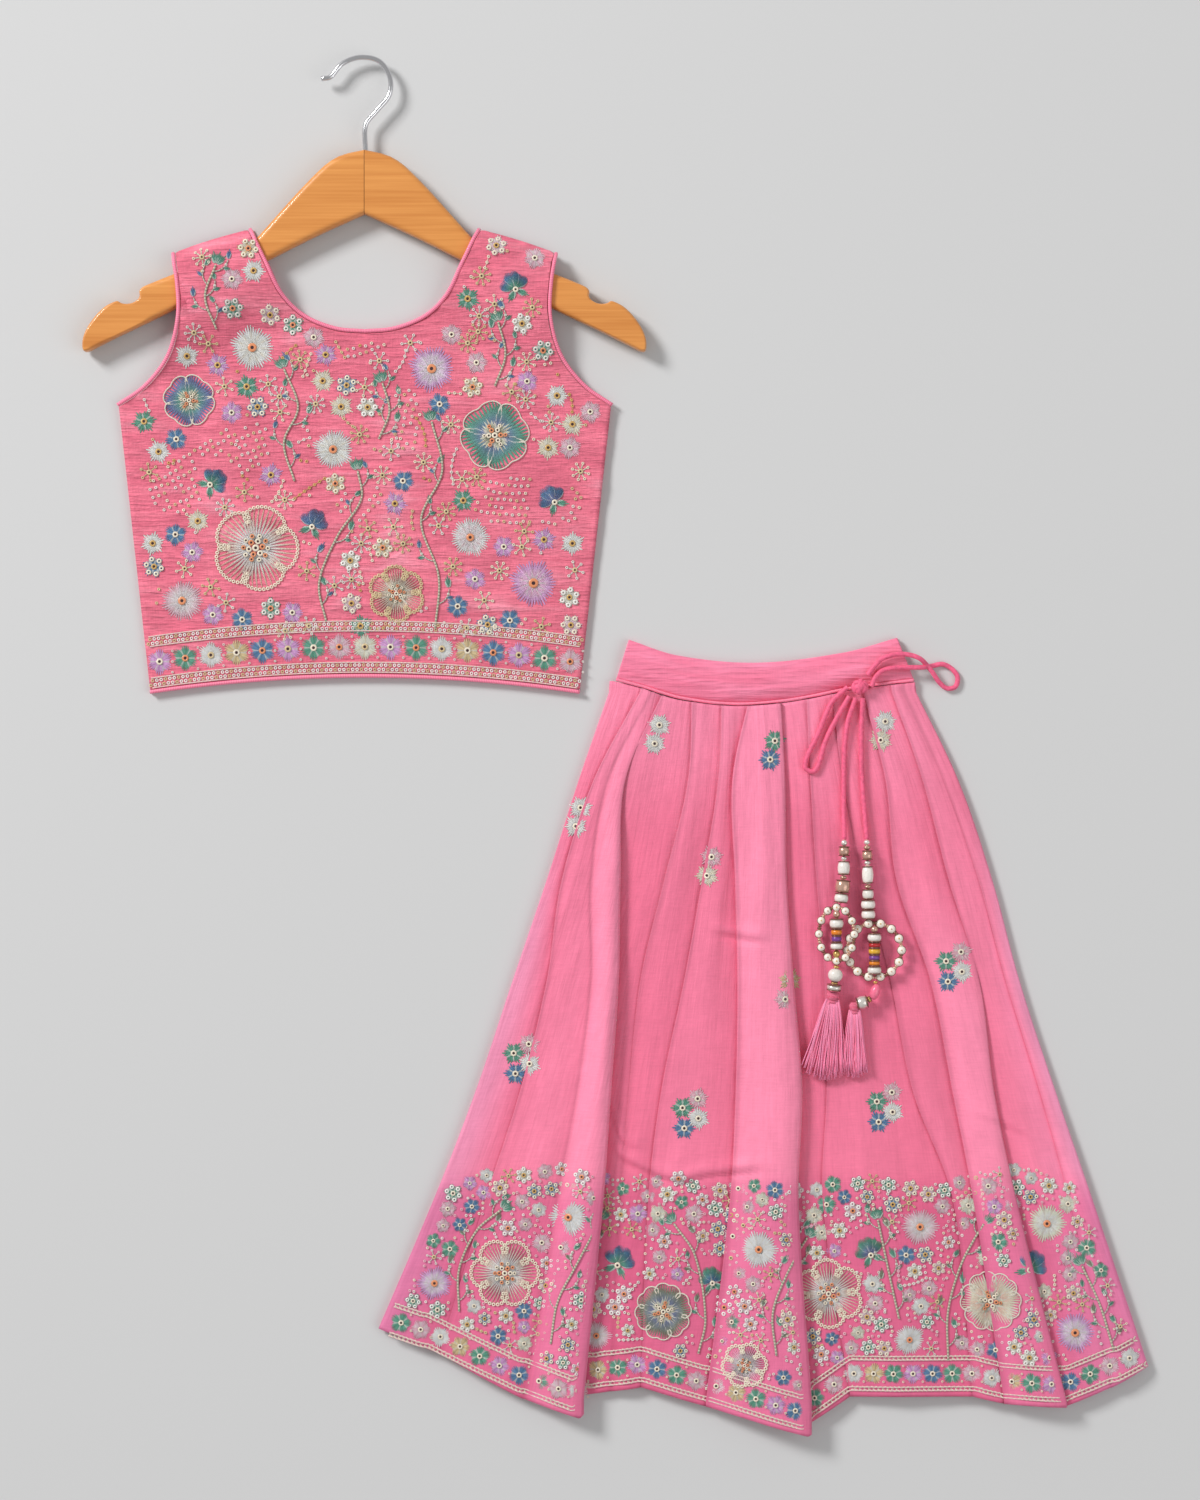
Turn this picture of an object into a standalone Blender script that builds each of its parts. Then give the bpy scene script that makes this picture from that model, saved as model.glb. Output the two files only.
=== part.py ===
# A small child's lehenga choli laid flat: the choli on a wooden hanger, the pleated skirt
# beside it with its drawstring bow and two beaded pendants (latkans).
# +X is to the right, +Y towards the hanger's hook, +Z up from the surface it lies on.
# Sizes here are in millimetres; add_mesh and add_tube turn them into metres.
import math

import bmesh
import bpy
import numpy as np
from mathutils import Vector

MM = 0.001
GAP = 0.3

# Cloth
BACK_THICK = 1.5
FRONT_THICK = 1.8
FRONT_BASE = BACK_THICK + GAP + FRONT_THICK

# Hanger
CHOLI_X = -142.9
PIPING = 2.3
HANGER_BOTTOM = PIPING + GAP
HANGER_THICK = 9.0
HANGER_TOP = HANGER_BOTTOM + HANGER_THICK
HANGER_ROUNDING = 3.0
HOOK_WIRE = 3.0
WOOD_UPPER = [(0.0, 338.0), (17.0, 334.5), (32.5, 319.8), (48.5, 302.1), (57.5, 291.8),
              (64.0, 285.0), (85.0, 276.5), (110.0, 266.8), (124.0, 260.5), (130.5, 250.8), (139.0, 252.5),
              (150.0, 243.5), (157.0, 234.5), (160.0, 225.5)]
WOOD_LOWER = [(0.0, 301.5), (28.0, 289.0), (56.0, 274.7), (85.0, 259.5), (110.0, 246.2),
              (135.0, 234.5), (152.0, 226.0), (158.0, 222.8)]
HOOK_ROUTE = [(0.6, 338.4), (0.6, 352.2), (6.5, 360.0), (14.0, 369.5), (14.2, 380.0),
              (8.0, 388.7), (-3.0, 390.7), (-13.0, 386.9), (-19.6, 379.5), (-24.5, 378.6)]

# Choli: each row is a point of the top outline and the point of the hem that its line of
# cloth runs down to: x, y, hem_x. x is measured from the choli's centre line.
NECK = [(0.0, 236.6, 0.0), (16.5, 238.2, 5.5), (33.6, 245.1, 11.5), (46.2, 257.1, 17.5),
        (54.7, 274.2, 23.5), (64.0, 293.6, 30.0)]
SHOULDER = [(64.0, 293.6), (87.0, 287.2), (110.0, 279.3)]
ARMHOLE = [(110.0, 279.3, 50.0), (107.2, 262.0, 59.0), (106.8, 242.3, 70.0),
           (112.6, 222.0, 83.0), (125.5, 205.5, 100.0), (141.4, 194.4, 122.3)]
NECK_SHARES = (0.0, 0.15, 0.3, 0.45, 0.6, 0.74, 0.86, 0.93, 0.965, 1.0)
ARM_SHARES = (0.0, 0.08, 0.2, 0.33, 0.46, 0.6, 0.74, 0.87, 1.0)
EDGE_GAP = 0.9
HEM_SIDE = 122.3
HEM_SIDE_Y = 29.0
HEM_RISE = 9.2
PIPING_SIDES = 1
TENT_START = 4.0
TENT_END = 44.0
SEAM_LIFT = 3.0
SHOULDER_FALL = 7.5
BACK_FALL = 6.0
CHOLI_SWELL = 1.2

# Skirt. x is measured from the skirt's centre line.
SKIRT_X = 84.8
LEVELS = [31.0, -20.0, -77.0, -134.0, -197.0, -259.0, -373.0]
# Fold lines from left to right: x at each of LEVELS, then the hem's y on the line's two sides.
FOLD_LINES = {
    "left_edge": ((-88.4, -106.0, -124.3, -143.6, -164.7, -188.7, -237.7), (-332.0, -332.0)),
    "pleat_1": ((-70.1, -96.9, -115.1, -123.7, -139.1, -159.0, -193.2), (-346.0, -346.0)),
    "ridge_a": ((-63.8, -89.5, -99.2, -99.2, -107.2, -118.6, -137.9), (-371.6, -371.6)),
    "pleat_2": ((-57.0, -79.8, -83.8, -85.5, -90.1, -94.6, -105.7), (-381.9, -369.9)),
    "pleat_3": ((-41.0, -43.3, -57.0, -70.7, -77.5, -82.2, -88.1), (-367.7, -367.7)),
    "pleat_4": ((-23.9, -26.2, -35.3, -45.6, -58.7, -66.1, -70.7), (-365.4, -365.4)),
    "pleat_5": ((-7.4, -17.7, -16.0, -14.8, -16.0, -19.4, -33.1), (-376.2, -376.2)),
    "pleat_6": ((8.0, 10.3, 10.8, 14.3, 18.8, 16.5, 23.9), (-392.2, -386.5)),
    "pleat_7": ((23.9, 26.2, 29.6, 34.2, 35.3, 33.1, 49.0), (-370.5, -370.5)),
    "pleat_8": ((38.2, 44.5, 55.9, 71.3, 84.4, 107.2, 118.3), (-370.5, -370.5)),
    "ridge_c": ((55.9, 69.0, 75.2, 94.6, 107.2, 119.0, 136.2), (-374.5, -374.5)),
    "pleat_9": ((72.4, 90.1, 104.9, 121.4, 128.8, 141.4, 169.9), (-376.2, -376.2)),
    "side_fold": ((78.7, 101.5, 121.5, 137.0, 156.3, 173.3, 198.4), (-365.4, -365.4)),
    "right_edge": ((85.5, 110.0, 129.4, 144.8, 165.3, 186.4, 224.6), (-353.4, -353.4)),
}
# Height of the cloth above its base just left and just right of each line, at these levels.
HEIGHT_LEVELS = [31.0, -77.0, -197.0, -380.0]
FOLD_HEIGHTS = {
    "left_edge": ((0.0, 0.0, 0.0, 0.0), (0.2, 0.3, 0.5, 0.8)),
    "pleat_1": ((0.4, 0.8, 1.5, 3.0), (2.6, 2.8, 2.8, 3.5)),
    "ridge_a": ((2.2, 3.0, 3.2, 3.0), (2.2, 3.0, 3.2, 3.0)),
    "pleat_2": ((0.4, 6.0, 8.5, 9.0), (2.6, 1.0, 0.6, 1.0)),
    "pleat_3": ((0.4, 0.6, 0.6, 1.0), (2.6, 2.4, 0.9, 1.0)),
    "pleat_4": ((0.4, 0.6, 0.8, 1.5), (2.6, 2.6, 2.4, 2.0)),
    "pleat_5": ((0.4, 0.8, 1.2, 2.0), (2.8, 4.5, 3.8, 4.0)),
    "pleat_6": ((2.6, 5.0, 7.5, 8.5), (0.4, 0.6, 1.0, 1.5)),
    "pleat_7": ((0.4, 0.5, 0.8, 2.0), (2.4, 2.0, 2.0, 3.0)),
    "pleat_8": ((0.4, 1.2, 0.6, 2.0), (2.2, 1.2, 2.2, 2.5)),
    "ridge_c": ((0.4, 0.8, 1.5, 2.5), (2.8, 3.0, 4.0, 4.0)),
    "pleat_9": ((0.4, 1.5, 5.5, 6.5), (2.8, 3.5, 2.0, 2.5)),
    "side_fold": ((1.5, 2.0, 1.8, 3.0), (1.5, 2.6, 2.6, 3.0)),
    "right_edge": ((0.2, 0.3, 0.5, 0.8), (0.0, 0.0, 0.0, 0.0)),
}
# Extra dome between a line and the next one to its right, at the same levels.
FOLD_DOMES = {
    "ridge_a": (0.0, 1.5, 2.5, 3.0),
    "pleat_5": (0.3, 1.5, 3.0, 3.5),
    "ridge_c": (0.2, 1.0, 2.0, 2.5),
    "pleat_4": (0.2, 0.5, 0.8, 1.5),
    "side_fold": (0.2, 0.4, 0.8, 1.5),
}
PLAIN_DOME = (0.2, 0.3, 0.6, 1.0)
STEP_WIDTH = (2.2, 3.0, 4.5, 5.0)
SEAM_X = [-86.0, -70.7, -47.3, -16.5, 14.3, 53.6, 86.0]
SEAM_Y = [37.6, 33.6, 26.8, 23.4, 25.7, 33.1, 37.0]
BAND_TOP_X = [-77.5, -50.0, -5.0, 45.0, 75.2]
BAND_TOP_Y = [59.9, 51.0, 46.8, 52.6, 61.0]
BAND_PIPING = 2.0
BAND_PUFF = 3.2
SEAM_GAP = 0.6
BACK_HEM_INSET = 3.0
HEM_SPAN = 230.0
FRONT_ROWS = 15
PANEL_STEPS = 3

# Drawstring: routes as x, y, lift above the surface that the cord lies on
CORD = 2.8
KNOT_CENTRE = (138.4, 33.0)
KNOT_SIZE = (10.5, 8.5, 6.0)
LOOP_RIGHT = [(145.2, 33.0, 0.6), (149.0, 40.8, 0.2), (156.5, 43.6, 0.0), (166.0, 44.0, 0.0),
              (177.3, 44.3, 0.0), (186.0, 46.0, 0.0), (192.6, 42.0, 0.0), (194.9, 35.9, 0.0),
              (190.8, 31.6, 0.0), (184.6, 35.0, 1.4), (178.6, 43.2, 3.6), (172.6, 49.0, 2.2),
              (163.0, 51.6, 0.8), (151.0, 48.8, 1.2), (142.8, 39.6, 1.0)]
LOOP_LEFT = [(131.6, 32.8, 0.6), (122.8, 24.4, 0.0), (115.4, 5.6, 0.0), (110.0, -10.6, 0.0),
             (110.6, -14.2, 0.0), (113.4, -12.4, 0.0), (119.0, 3.2, 0.0), (127.6, 19.0, 0.0),
             (132.6, 27.6, 0.4)]
END_LEFT = [(136.2, 26.6, 0.4), (132.0, 14.0, 0.0), (130.0, 0.0, 0.0), (129.4, -27.0, 0.0),
            (129.6, -53.4, 2.2)]
END_RIGHT = [(140.2, 26.6, 0.4), (139.4, 4.0, 0.0), (139.9, -20.0, 0.0), (142.4, -53.4, 2.2)]

# Latkans: each bead row is its length and its radius along the string; a string's route is
# x, y and its height above the cloth under the latkans
LEFT_BEADS = [(4.6, 1.9), (2.6, 1.5), (5.4, 2.9), (2.0, 1.4), (10.0, 3.7), (2.4, 1.6), (6.0, 3.4)]
RIGHT_BEADS = [(3.4, 1.7), (3.4, 1.9), (4.0, 1.6), (6.0, 3.0), (2.0, 1.3), (9.4, 2.9),
               (2.0, 1.4), (5.6, 3.5), (5.4, 3.4)]
LEFT_COLUMN = [(5.0, 1.8), (6.0, 3.4), (4.4, 2.8), (4.4, 2.4), (4.4, 3.0), (5.0, 1.8)]
RIGHT_COLUMN = [(4.5, 1.8), (5.6, 3.3), (4.2, 2.8), (4.2, 2.8), (4.2, 2.6), (5.4, 3.3), (4.5, 1.8)]
LEFT_DROP = [(2.0, 1.6), (8.4, 3.5), (1.4, 1.8), (4.4, 3.4)]
RIGHT_DROP = [(2.0, 1.2), (9.0, 2.4), (1.8, 1.5), (7.0, 3.0)]
LEFT_STRING = [(129.6, -53.8, 2.2), (128.9, -76.0, 4.6), (127.4, -89.7, 5.6)]
RIGHT_STRING = [(142.4, -53.8, 2.2), (142.8, -74.0, 3.6), (143.2, -99.0, 3.9)]
LEFT_DROP_ROUTE = [(125.0, -125.0, 5.4), (124.2, -132.0, 4.9), (123.4, -139.3, 4.2)]
RIGHT_DROP_ROUTE = [(147.2, -133.9, 3.8), (146.7, -141.0, 3.6), (142.6, -145.0, 3.5), (136.4, -146.9, 3.3)]
LEFT_RING = {"centre": (125.0, -107.3), "half": (10.3, 15.2), "height": 5.6, "tilt": 17.0}
RIGHT_RING = {"centre": (146.6, -116.5), "half": (15.4, 15.4), "height": 3.7, "tilt": 0.0}
LATKAN_AREA = ((114.0, -188.0), (163.0, -54.0))
RING_BEAD = 2.3
RING_BEADS = 18
TASSEL_CLEAR = 0.8
TASSEL_COLUMNS = 9
TASSEL_LAYERS = 3

CLOTH_PINK = (0.90, 0.16, 0.30)
SKIRT_PINK = (0.95, 0.22, 0.38)
CORD_PINK = (0.80, 0.10, 0.22)
TASSEL_PINK = (0.78, 0.12, 0.32)


def curve_at(keys, values, at):
    """Smooth value of a table at a place, with keys rising or falling."""
    if keys[0] > keys[-1]:
        keys = [-key for key in keys]
        at = -at
    at = min(max(at, keys[0]), keys[-1])
    index = 0
    while index < len(keys) - 2 and at > keys[index + 1]:
        index += 1
    span = keys[index + 1] - keys[index]
    slopes = []
    for i in (index, index + 1):
        low = max(i - 1, 0)
        high = min(i + 1, len(keys) - 1)
        slopes.append((values[high] - values[low]) / (keys[high] - keys[low]) * span)
    t = (at - keys[index]) / span
    start, end = values[index], values[index + 1]
    rise = slopes[0] * (t - 2 * t * t + t ** 3) + slopes[1] * (t ** 3 - t * t)
    return start + (end - start) * (3 * t * t - 2 * t ** 3) + rise


def smooth_step(low, high, at):
    t = min(max((at - low) / (high - low), 0.0), 1.0)
    return t * t * (3 - 2 * t)


def smooth_route(points, spacing):
    """Points about one spacing apart on a smooth curve through the given ones."""
    points = [np.array(point, dtype=float) for point in points]
    lengths = [0.0]
    for a, b in zip(points, points[1:]):
        lengths.append(lengths[-1] + float(np.linalg.norm(b - a)))
    count = max(4, round(lengths[-1] / spacing))
    route = []
    for i in range(count + 1):
        at = lengths[-1] * i / count
        route.append([curve_at(lengths, [p[axis] for p in points], at) for axis in range(len(points[0]))])
    return route


def make_material(name, colour, roughness, metallic=0.0):
    material = bpy.data.materials.new(name)
    material.use_nodes = True
    shader = material.node_tree.nodes["Principled BSDF"]
    shader.inputs["Base Color"].default_value = (*colour, 1.0)
    shader.inputs["Roughness"].default_value = roughness
    shader.inputs["Metallic"].default_value = metallic
    return material


def add_mesh(name, mesh_builder, material, sharp_angle=50.0):
    """Turn a bmesh in millimetres into a named, smooth shaded object."""
    bmesh.ops.recalc_face_normals(mesh_builder, faces=mesh_builder.faces)
    bmesh.ops.scale(mesh_builder, vec=(MM, MM, MM), verts=mesh_builder.verts)
    mesh = bpy.data.meshes.new(name)
    mesh_builder.to_mesh(mesh)
    mesh_builder.free()
    mesh.shade_smooth()
    mesh.set_sharp_from_angle(angle=math.radians(sharp_angle))
    mesh.materials.append(material)
    item = bpy.data.objects.new(name, mesh)
    bpy.context.collection.objects.link(item)
    return item


def add_tube(name, points, diameter, material, resolution=2):
    """A round cord along a route of points in millimetres, capped at both ends."""
    curve = bpy.data.curves.new(name, "CURVE")
    curve.dimensions = "3D"
    curve.bevel_depth = diameter / 2 * MM
    curve.bevel_resolution = resolution
    curve.use_fill_caps = True
    spline = curve.splines.new("POLY")
    spline.points.add(len(points) - 1)
    for spot, point in zip(spline.points, points):
        spot.co = (point[0] * MM, point[1] * MM, point[2] * MM, 1.0)
    curve.materials.append(material)
    item = bpy.data.objects.new(name, curve)
    bpy.context.collection.objects.link(item)
    return item


def wall(name, outer, thickness, material):
    """A cloth wall: rows of outer points, and the same rows moved down by its thickness."""
    shape = bmesh.new()
    rows, columns = len(outer), len(outer[0])
    top = [[shape.verts.new(point) for point in row] for row in outer]
    bottom = [[shape.verts.new((x, y, z - thickness)) for x, y, z in row] for row in outer]
    for r in range(rows - 1):
        for c in range(columns - 1):
            for layer in (top, bottom):
                shape.faces.new((layer[r][c], layer[r][c + 1], layer[r + 1][c + 1], layer[r + 1][c]))
    rim = [(0, c) for c in range(columns)] + [(r, columns - 1) for r in range(1, rows)]
    rim += [(rows - 1, c) for c in range(columns - 2, -1, -1)] + [(r, 0) for r in range(rows - 2, 0, -1)]
    for (r0, c0), (r1, c1) in zip(rim, rim[1:] + rim[:1]):
        shape.faces.new((top[r0][c0], top[r1][c1], bottom[r1][c1], bottom[r0][c0]))
    return add_mesh(name, shape, material)


def turned(shape, route, sections, sides=8):
    """A turned bead string: closed rings of (distance, radius) along a route."""
    points = [Vector(point) for point in smooth_route(route, 1.0)]
    reach = [0.0]
    for a, b in zip(points, points[1:]):
        reach.append(reach[-1] + (b - a).length)
    scale = reach[-1] / sections[-1][0]
    rings = []
    for distance, radius in sections:
        at = min(distance * scale, reach[-1])
        index = min(max(sum(1 for mark in reach if mark <= at) - 1, 0), len(points) - 2)
        along = (points[index + 1] - points[index]).normalized()
        centre = points[index] + along * (at - reach[index])
        across = along.cross(Vector((0, 0, 1))).normalized()
        up = across.cross(along)
        ring = []
        for i in range(sides):
            angle = 2 * math.pi * (i + 0.5) / sides
            ring.append(shape.verts.new(centre + (across * math.cos(angle) + up * math.sin(angle)) * radius))
        rings.append(ring)
    for a, b in zip(rings, rings[1:]):
        for i in range(sides):
            shape.faces.new((a[i], a[(i + 1) % sides], b[(i + 1) % sides], b[i]))
    shape.faces.new(list(reversed(rings[0])))
    shape.faces.new(rings[-1])


def bead_sections(beads, thread=0.9):
    """Sections of a string of barrel beads that touch at narrow necks."""
    sections = [(0.0, thread)]
    at = 0.0
    for length, radius in beads:
        sections += [(at + 0.22 * length, 0.86 * radius), (at + 0.5 * length, radius)]
        sections += [(at + 0.78 * length, 0.86 * radius), (at + length, thread)]
        at += length
    return sections


# Hanger

def wood_edge(table, x):
    return float(np.interp(x, [row[0] for row in table], [row[1] for row in table]))


def hanger_half(name, side, material):
    """One arm: its outline drawn out to the wood's thickness, with rounded long edges."""
    outline = [(x, y) for x, y in WOOD_UPPER] + [(x, y) for x, y in reversed(WOOD_LOWER)]
    outline = [(max(x, GAP / 2), y) for x, y in outline]
    shape = bmesh.new()
    base = [shape.verts.new((CHOLI_X + side * x, y, HANGER_BOTTOM)) for x, y in outline]
    face = shape.faces.new(base)
    drawn = bmesh.ops.extrude_face_region(shape, geom=[face])
    lifted = [item for item in drawn["geom"] if isinstance(item, bmesh.types.BMVert)]
    bmesh.ops.translate(shape, vec=(0, 0, HANGER_THICK), verts=lifted)
    mitre = CHOLI_X + side * GAP / 2
    edges = [edge for edge in shape.edges
             if abs(edge.verts[0].co.z - edge.verts[1].co.z) < 0.01
             and not all(abs(vert.co.x - mitre) < 0.01 for vert in edge.verts)]
    bmesh.ops.bevel(shape, geom=edges, offset=HANGER_ROUNDING, segments=2, profile=0.5,
                    affect="EDGES", clamp_overlap=True)
    return add_mesh(name, shape, material)


def hanger_hook(material):
    centre_height = HANGER_BOTTOM + HANGER_THICK / 2
    route = smooth_route(HOOK_ROUTE, 2.2 * HOOK_WIRE)
    points = [(CHOLI_X + x, y, centre_height) for x, y in route]
    return add_tube("hanger_hook", points, HOOK_WIRE, material, resolution=2)


# Choli

def hem_y(x):
    return HEM_SIDE_Y + HEM_RISE * (1 - (x / HEM_SIDE) ** 2)


def shoulder_y(x):
    return curve_at([row[0] for row in SHOULDER], [row[1] for row in SHOULDER], abs(x))


def choli_height(x, y):
    """Height of the front panel's outer face: over the hanger, then down to the back panel."""
    off = min(abs(x), 155.0)
    below = wood_edge(WOOD_LOWER, off) - y
    over = HANGER_TOP + GAP + FRONT_THICK
    swell = CHOLI_SWELL * (1 - (x / 150.0) ** 2) * smooth_step(20.0, 90.0, y)
    base = FRONT_BASE + max(swell, 0.0)
    tent = 1 - smooth_step(TENT_START, TENT_END, below)
    height = base + (over - base) * tent
    fall = 1 - smooth_step(0.0, SHOULDER_FALL, shoulder_y(x) - y)
    return height - (over - FRONT_BASE - SEAM_LIFT) * fall


def choli_back_height(x, y):
    """The back panel lies flat and rises to meet the front only at the shoulder seam."""
    return BACK_THICK + SEAM_LIFT * (1 - smooth_step(0.0, BACK_FALL, shoulder_y(x) - y))


def edge_run(rows, shares, inset):
    """Points at shares of one outline run, moved into the cloth, with their hem points."""
    keys = list(range(len(rows)))
    columns = [[row[axis] for row in rows] for axis in range(3)]
    spots = []
    for share in shares:
        spots.append([curve_at(keys, column, share * keys[-1]) for column in columns])
    run = []
    for i, (x, y, foot) in enumerate(spots):
        before, after = spots[max(i - 1, 0)], spots[min(i + 1, len(spots) - 1)]
        along = np.array((after[0] - before[0], after[1] - before[1]))
        if x == 0.0:
            along = np.array((1.0, 0.0))
        along = along / np.linalg.norm(along)
        run.append((x + along[1] * inset, y - along[0] * inset, foot))
    return run


def even_shares(count):
    return [i / count for i in range(count + 1)]


def choli_top(inset):
    """The right half of a panel's top outline, from the centre to the underarm."""
    neck = edge_run(NECK, NECK_SHARES, inset)
    arm = edge_run(ARMHOLE, ARM_SHARES, inset)
    shoulder = []
    for t in (0.33, 0.67):
        x = neck[-1][0] + (arm[0][0] - neck[-1][0]) * t
        shoulder.append((x, shoulder_y(x), NECK[-1][2] + (ARMHOLE[0][2] - NECK[-1][2]) * t))
    return neck + shoulder + arm


def choli_panel(name, height_at, rows, thickness, material):
    inset = PIPING + EDGE_GAP
    half = choli_top(inset)
    top = [(-x, y, -foot) for x, y, foot in reversed(half[1:])] + half
    outer = []
    for v in rows:
        row = []
        for x, y, foot in top:
            start_y = hem_y(foot) + inset
            spot = foot + (x - foot) * v
            level = start_y + (y - start_y) * v
            row.append((CHOLI_X + spot, level, height_at(spot, level)))
        outer.append(row)
    return wall(name, outer, thickness, material)


def piping_height(height_at, thickness, spots):
    return [(CHOLI_X + x, y, height_at(x, y) - thickness + PIPING / 2) for x, y in spots]


def neck_piping(name, height_at, thickness, material):
    half = [(x, y) for x, y, foot in edge_run(NECK, even_shares(15), PIPING / 2)]
    half[-1] = (half[-1][0] - 0.6, half[-1][1] - 1.0)
    spots = [(-x, y) for x, y in reversed(half[1:])] + half
    return add_tube(name, piping_height(height_at, thickness, spots), PIPING, material, PIPING_SIDES)


def arm_piping(name, side, material):
    spots = [(side * x, y) for x, y, foot in edge_run(ARMHOLE, even_shares(15), PIPING / 2)]
    return add_tube(name, piping_height(choli_height, FRONT_THICK, spots), PIPING, material, PIPING_SIDES)


def hem_piping(name, height_at, thickness, material):
    count = 20
    xs = [HEM_SIDE * (2 * i / count - 1) for i in range(count + 1)]
    spots = [(x, hem_y(x) + PIPING / 2) for x in xs]
    return add_tube(name, piping_height(height_at, thickness, spots), PIPING, material, PIPING_SIDES)


# Skirt

FOLD_NAMES = list(FOLD_LINES)


def line_x(name, y):
    return curve_at(LEVELS, FOLD_LINES[name][0], y)


def level_value(values, y):
    return curve_at(HEIGHT_LEVELS, values, y)


def fold_height(index, t, y):
    """Height above the base at a share t of the way from one fold line to the next."""
    left, right = FOLD_NAMES[index], FOLD_NAMES[index + 1]
    start = level_value(FOLD_HEIGHTS[left][1], y)
    end = level_value(FOLD_HEIGHTS[right][0], y)
    dome = level_value(FOLD_DOMES.get(left, PLAIN_DOME), y)
    return start + (end - start) * smooth_step(0.0, 1.0, t) + dome * 4 * t * (1 - t)


def skirt_height(x, y):
    """Height of the skirt front's outer face at a place measured from the skirt's centre."""
    lines = [line_x(name, y) for name in FOLD_NAMES]
    half = level_value(STEP_WIDTH, y) / 2
    if x <= lines[0] or x >= lines[-1]:
        return 0.0
    for i in range(len(lines) - 1):
        low = lines[i] + (half if i else 0.0)
        high = lines[i + 1] - (half if i < len(lines) - 2 else 0.0)
        if x < low:
            before = fold_height(i - 1, 1.0, y)
            return FRONT_BASE + before + (fold_height(i, 0.0, y) - before) * (x - low + 2 * half) / (2 * half)
        if x <= high:
            return FRONT_BASE + fold_height(i, (x - low) / (high - low), y)
    return FRONT_BASE


def seam_y(x):
    return curve_at(SEAM_X, SEAM_Y, x)


def skirt_columns():
    """Columns of the front: line index, share to the next line, and side of a step."""
    columns = []
    for i in range(len(FOLD_NAMES) - 1):
        for step in range(PANEL_STEPS + 1):
            columns.append((i, step / PANEL_STEPS))
    return columns


def skirt_point(index, t, v, start_y):
    left, right = FOLD_NAMES[index], FOLD_NAMES[index + 1]
    hem = FOLD_LINES[left][1][1] + (FOLD_LINES[right][1][0] - FOLD_LINES[left][1][1]) * t
    y = start_y + (hem - start_y) * v
    half = level_value(STEP_WIDTH, y) / 2
    low = line_x(left, y) + (half if index else 0.0)
    high = line_x(right, y) - (half if index < len(FOLD_NAMES) - 2 else 0.0)
    x = low + (high - low) * t
    return (SKIRT_X + x, y, FRONT_BASE + fold_height(index, t, y))


def skirt_front(material):
    offset = BAND_PIPING / 2 + SEAM_GAP
    outer = []
    for r in range(FRONT_ROWS + 1):
        row = []
        for index, t in skirt_columns():
            first = skirt_point(index, t, 0.0, LEVELS[0])[0] - SKIRT_X
            row.append(skirt_point(index, t, r / FRONT_ROWS, seam_y(first) - offset))
        outer.append(row)
    return wall("skirt_front", outer, FRONT_THICK, material)


def skirt_back(material):
    """The back lies flat, with the same side edges and a hem that the front's hem covers."""
    hem_x = [line[0][-1] for line in FOLD_LINES.values()]
    hem_y_front = [line[1][1] for line in FOLD_LINES.values()]
    columns = 12
    rows = 9
    outer = []
    for r in range(rows + 1):
        v = r / rows
        row = []
        for c in range(columns + 1):
            u = c / columns
            hem = np.interp(HEM_SPAN * (2 * u - 1), hem_x, hem_y_front) + BACK_HEM_INSET
            top = seam_y(SEAM_X[-1] * (2 * u - 1)) - BAND_PIPING / 2 - SEAM_GAP
            y = top + (hem - top) * v
            left, right = line_x("left_edge", y), line_x("right_edge", y)
            row.append((SKIRT_X + left + (right - left) * u, y, BACK_THICK))
        outer.append(row)
    return wall("skirt_back", outer, BACK_THICK, material)


def band_top_y(x):
    return curve_at(BAND_TOP_X, BAND_TOP_Y, x)


def band_height(x, v):
    return FRONT_BASE + BAND_PUFF * (4 * v * (1 - v)) ** 0.6 * (1 - (x / 95.0) ** 4)


def waistband(name, front, material):
    """The casing: flat at the back, puffed over its drawstring at the front."""
    columns, rows = 16, 6 if front else 1
    outer = []
    for r in range(rows + 1):
        v = r / rows
        row = []
        for c in range(columns + 1):
            u = c / columns
            low_x = -84.0 + 168.0 * u
            top_x = BAND_TOP_X[0] + (BAND_TOP_X[-1] - BAND_TOP_X[0]) * u
            low_y = seam_y(low_x) + BAND_PIPING / 2 + GAP
            x = low_x + (top_x - low_x) * v
            y = low_y + (band_top_y(top_x) - low_y) * v
            row.append((SKIRT_X + x, y, band_height(x, v) if front else BACK_THICK))
        outer.append(row)
    return wall(name, outer, FRONT_THICK if front else BACK_THICK, material)


def waistband_piping(material):
    count = 20
    points = []
    for i in range(count + 1):
        x = -84.5 + 169.0 * i / count
        points.append((SKIRT_X + x, seam_y(x), FRONT_BASE - FRONT_THICK + BAND_PIPING / 2))
    return add_tube("waistband_piping", points, BAND_PIPING, material, PIPING_SIDES)


def surface_under(x, y):
    """Top of whatever the drawstring lies on at a place of the whole object."""
    local = x - SKIRT_X
    if y > seam_y(local) + BAND_PIPING / 2:
        if abs(local) > 84.0 or y > band_top_y(local):
            return 0.0
        low = seam_y(local)
        return band_height(local, min(max((y - low) / (band_top_y(local) - low), 0.0), 1.0))
    if y > seam_y(local) - BAND_PIPING / 2 - SEAM_GAP:
        return FRONT_BASE + 1.0 if abs(local) < SEAM_X[-1] else 0.0
    return skirt_height(local, y)


def seat_height(x, y, reach):
    """The highest surface within a reach of a place."""
    highest = 0.0
    for i in range(12):
        angle = math.pi * i / 6
        for share in (0.0, 0.5, 1.0):
            at = (x + reach * share * math.cos(angle), y + reach * share * math.sin(angle))
            highest = max(highest, surface_under(*at))
    return highest


# Drawstring and latkans

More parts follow.
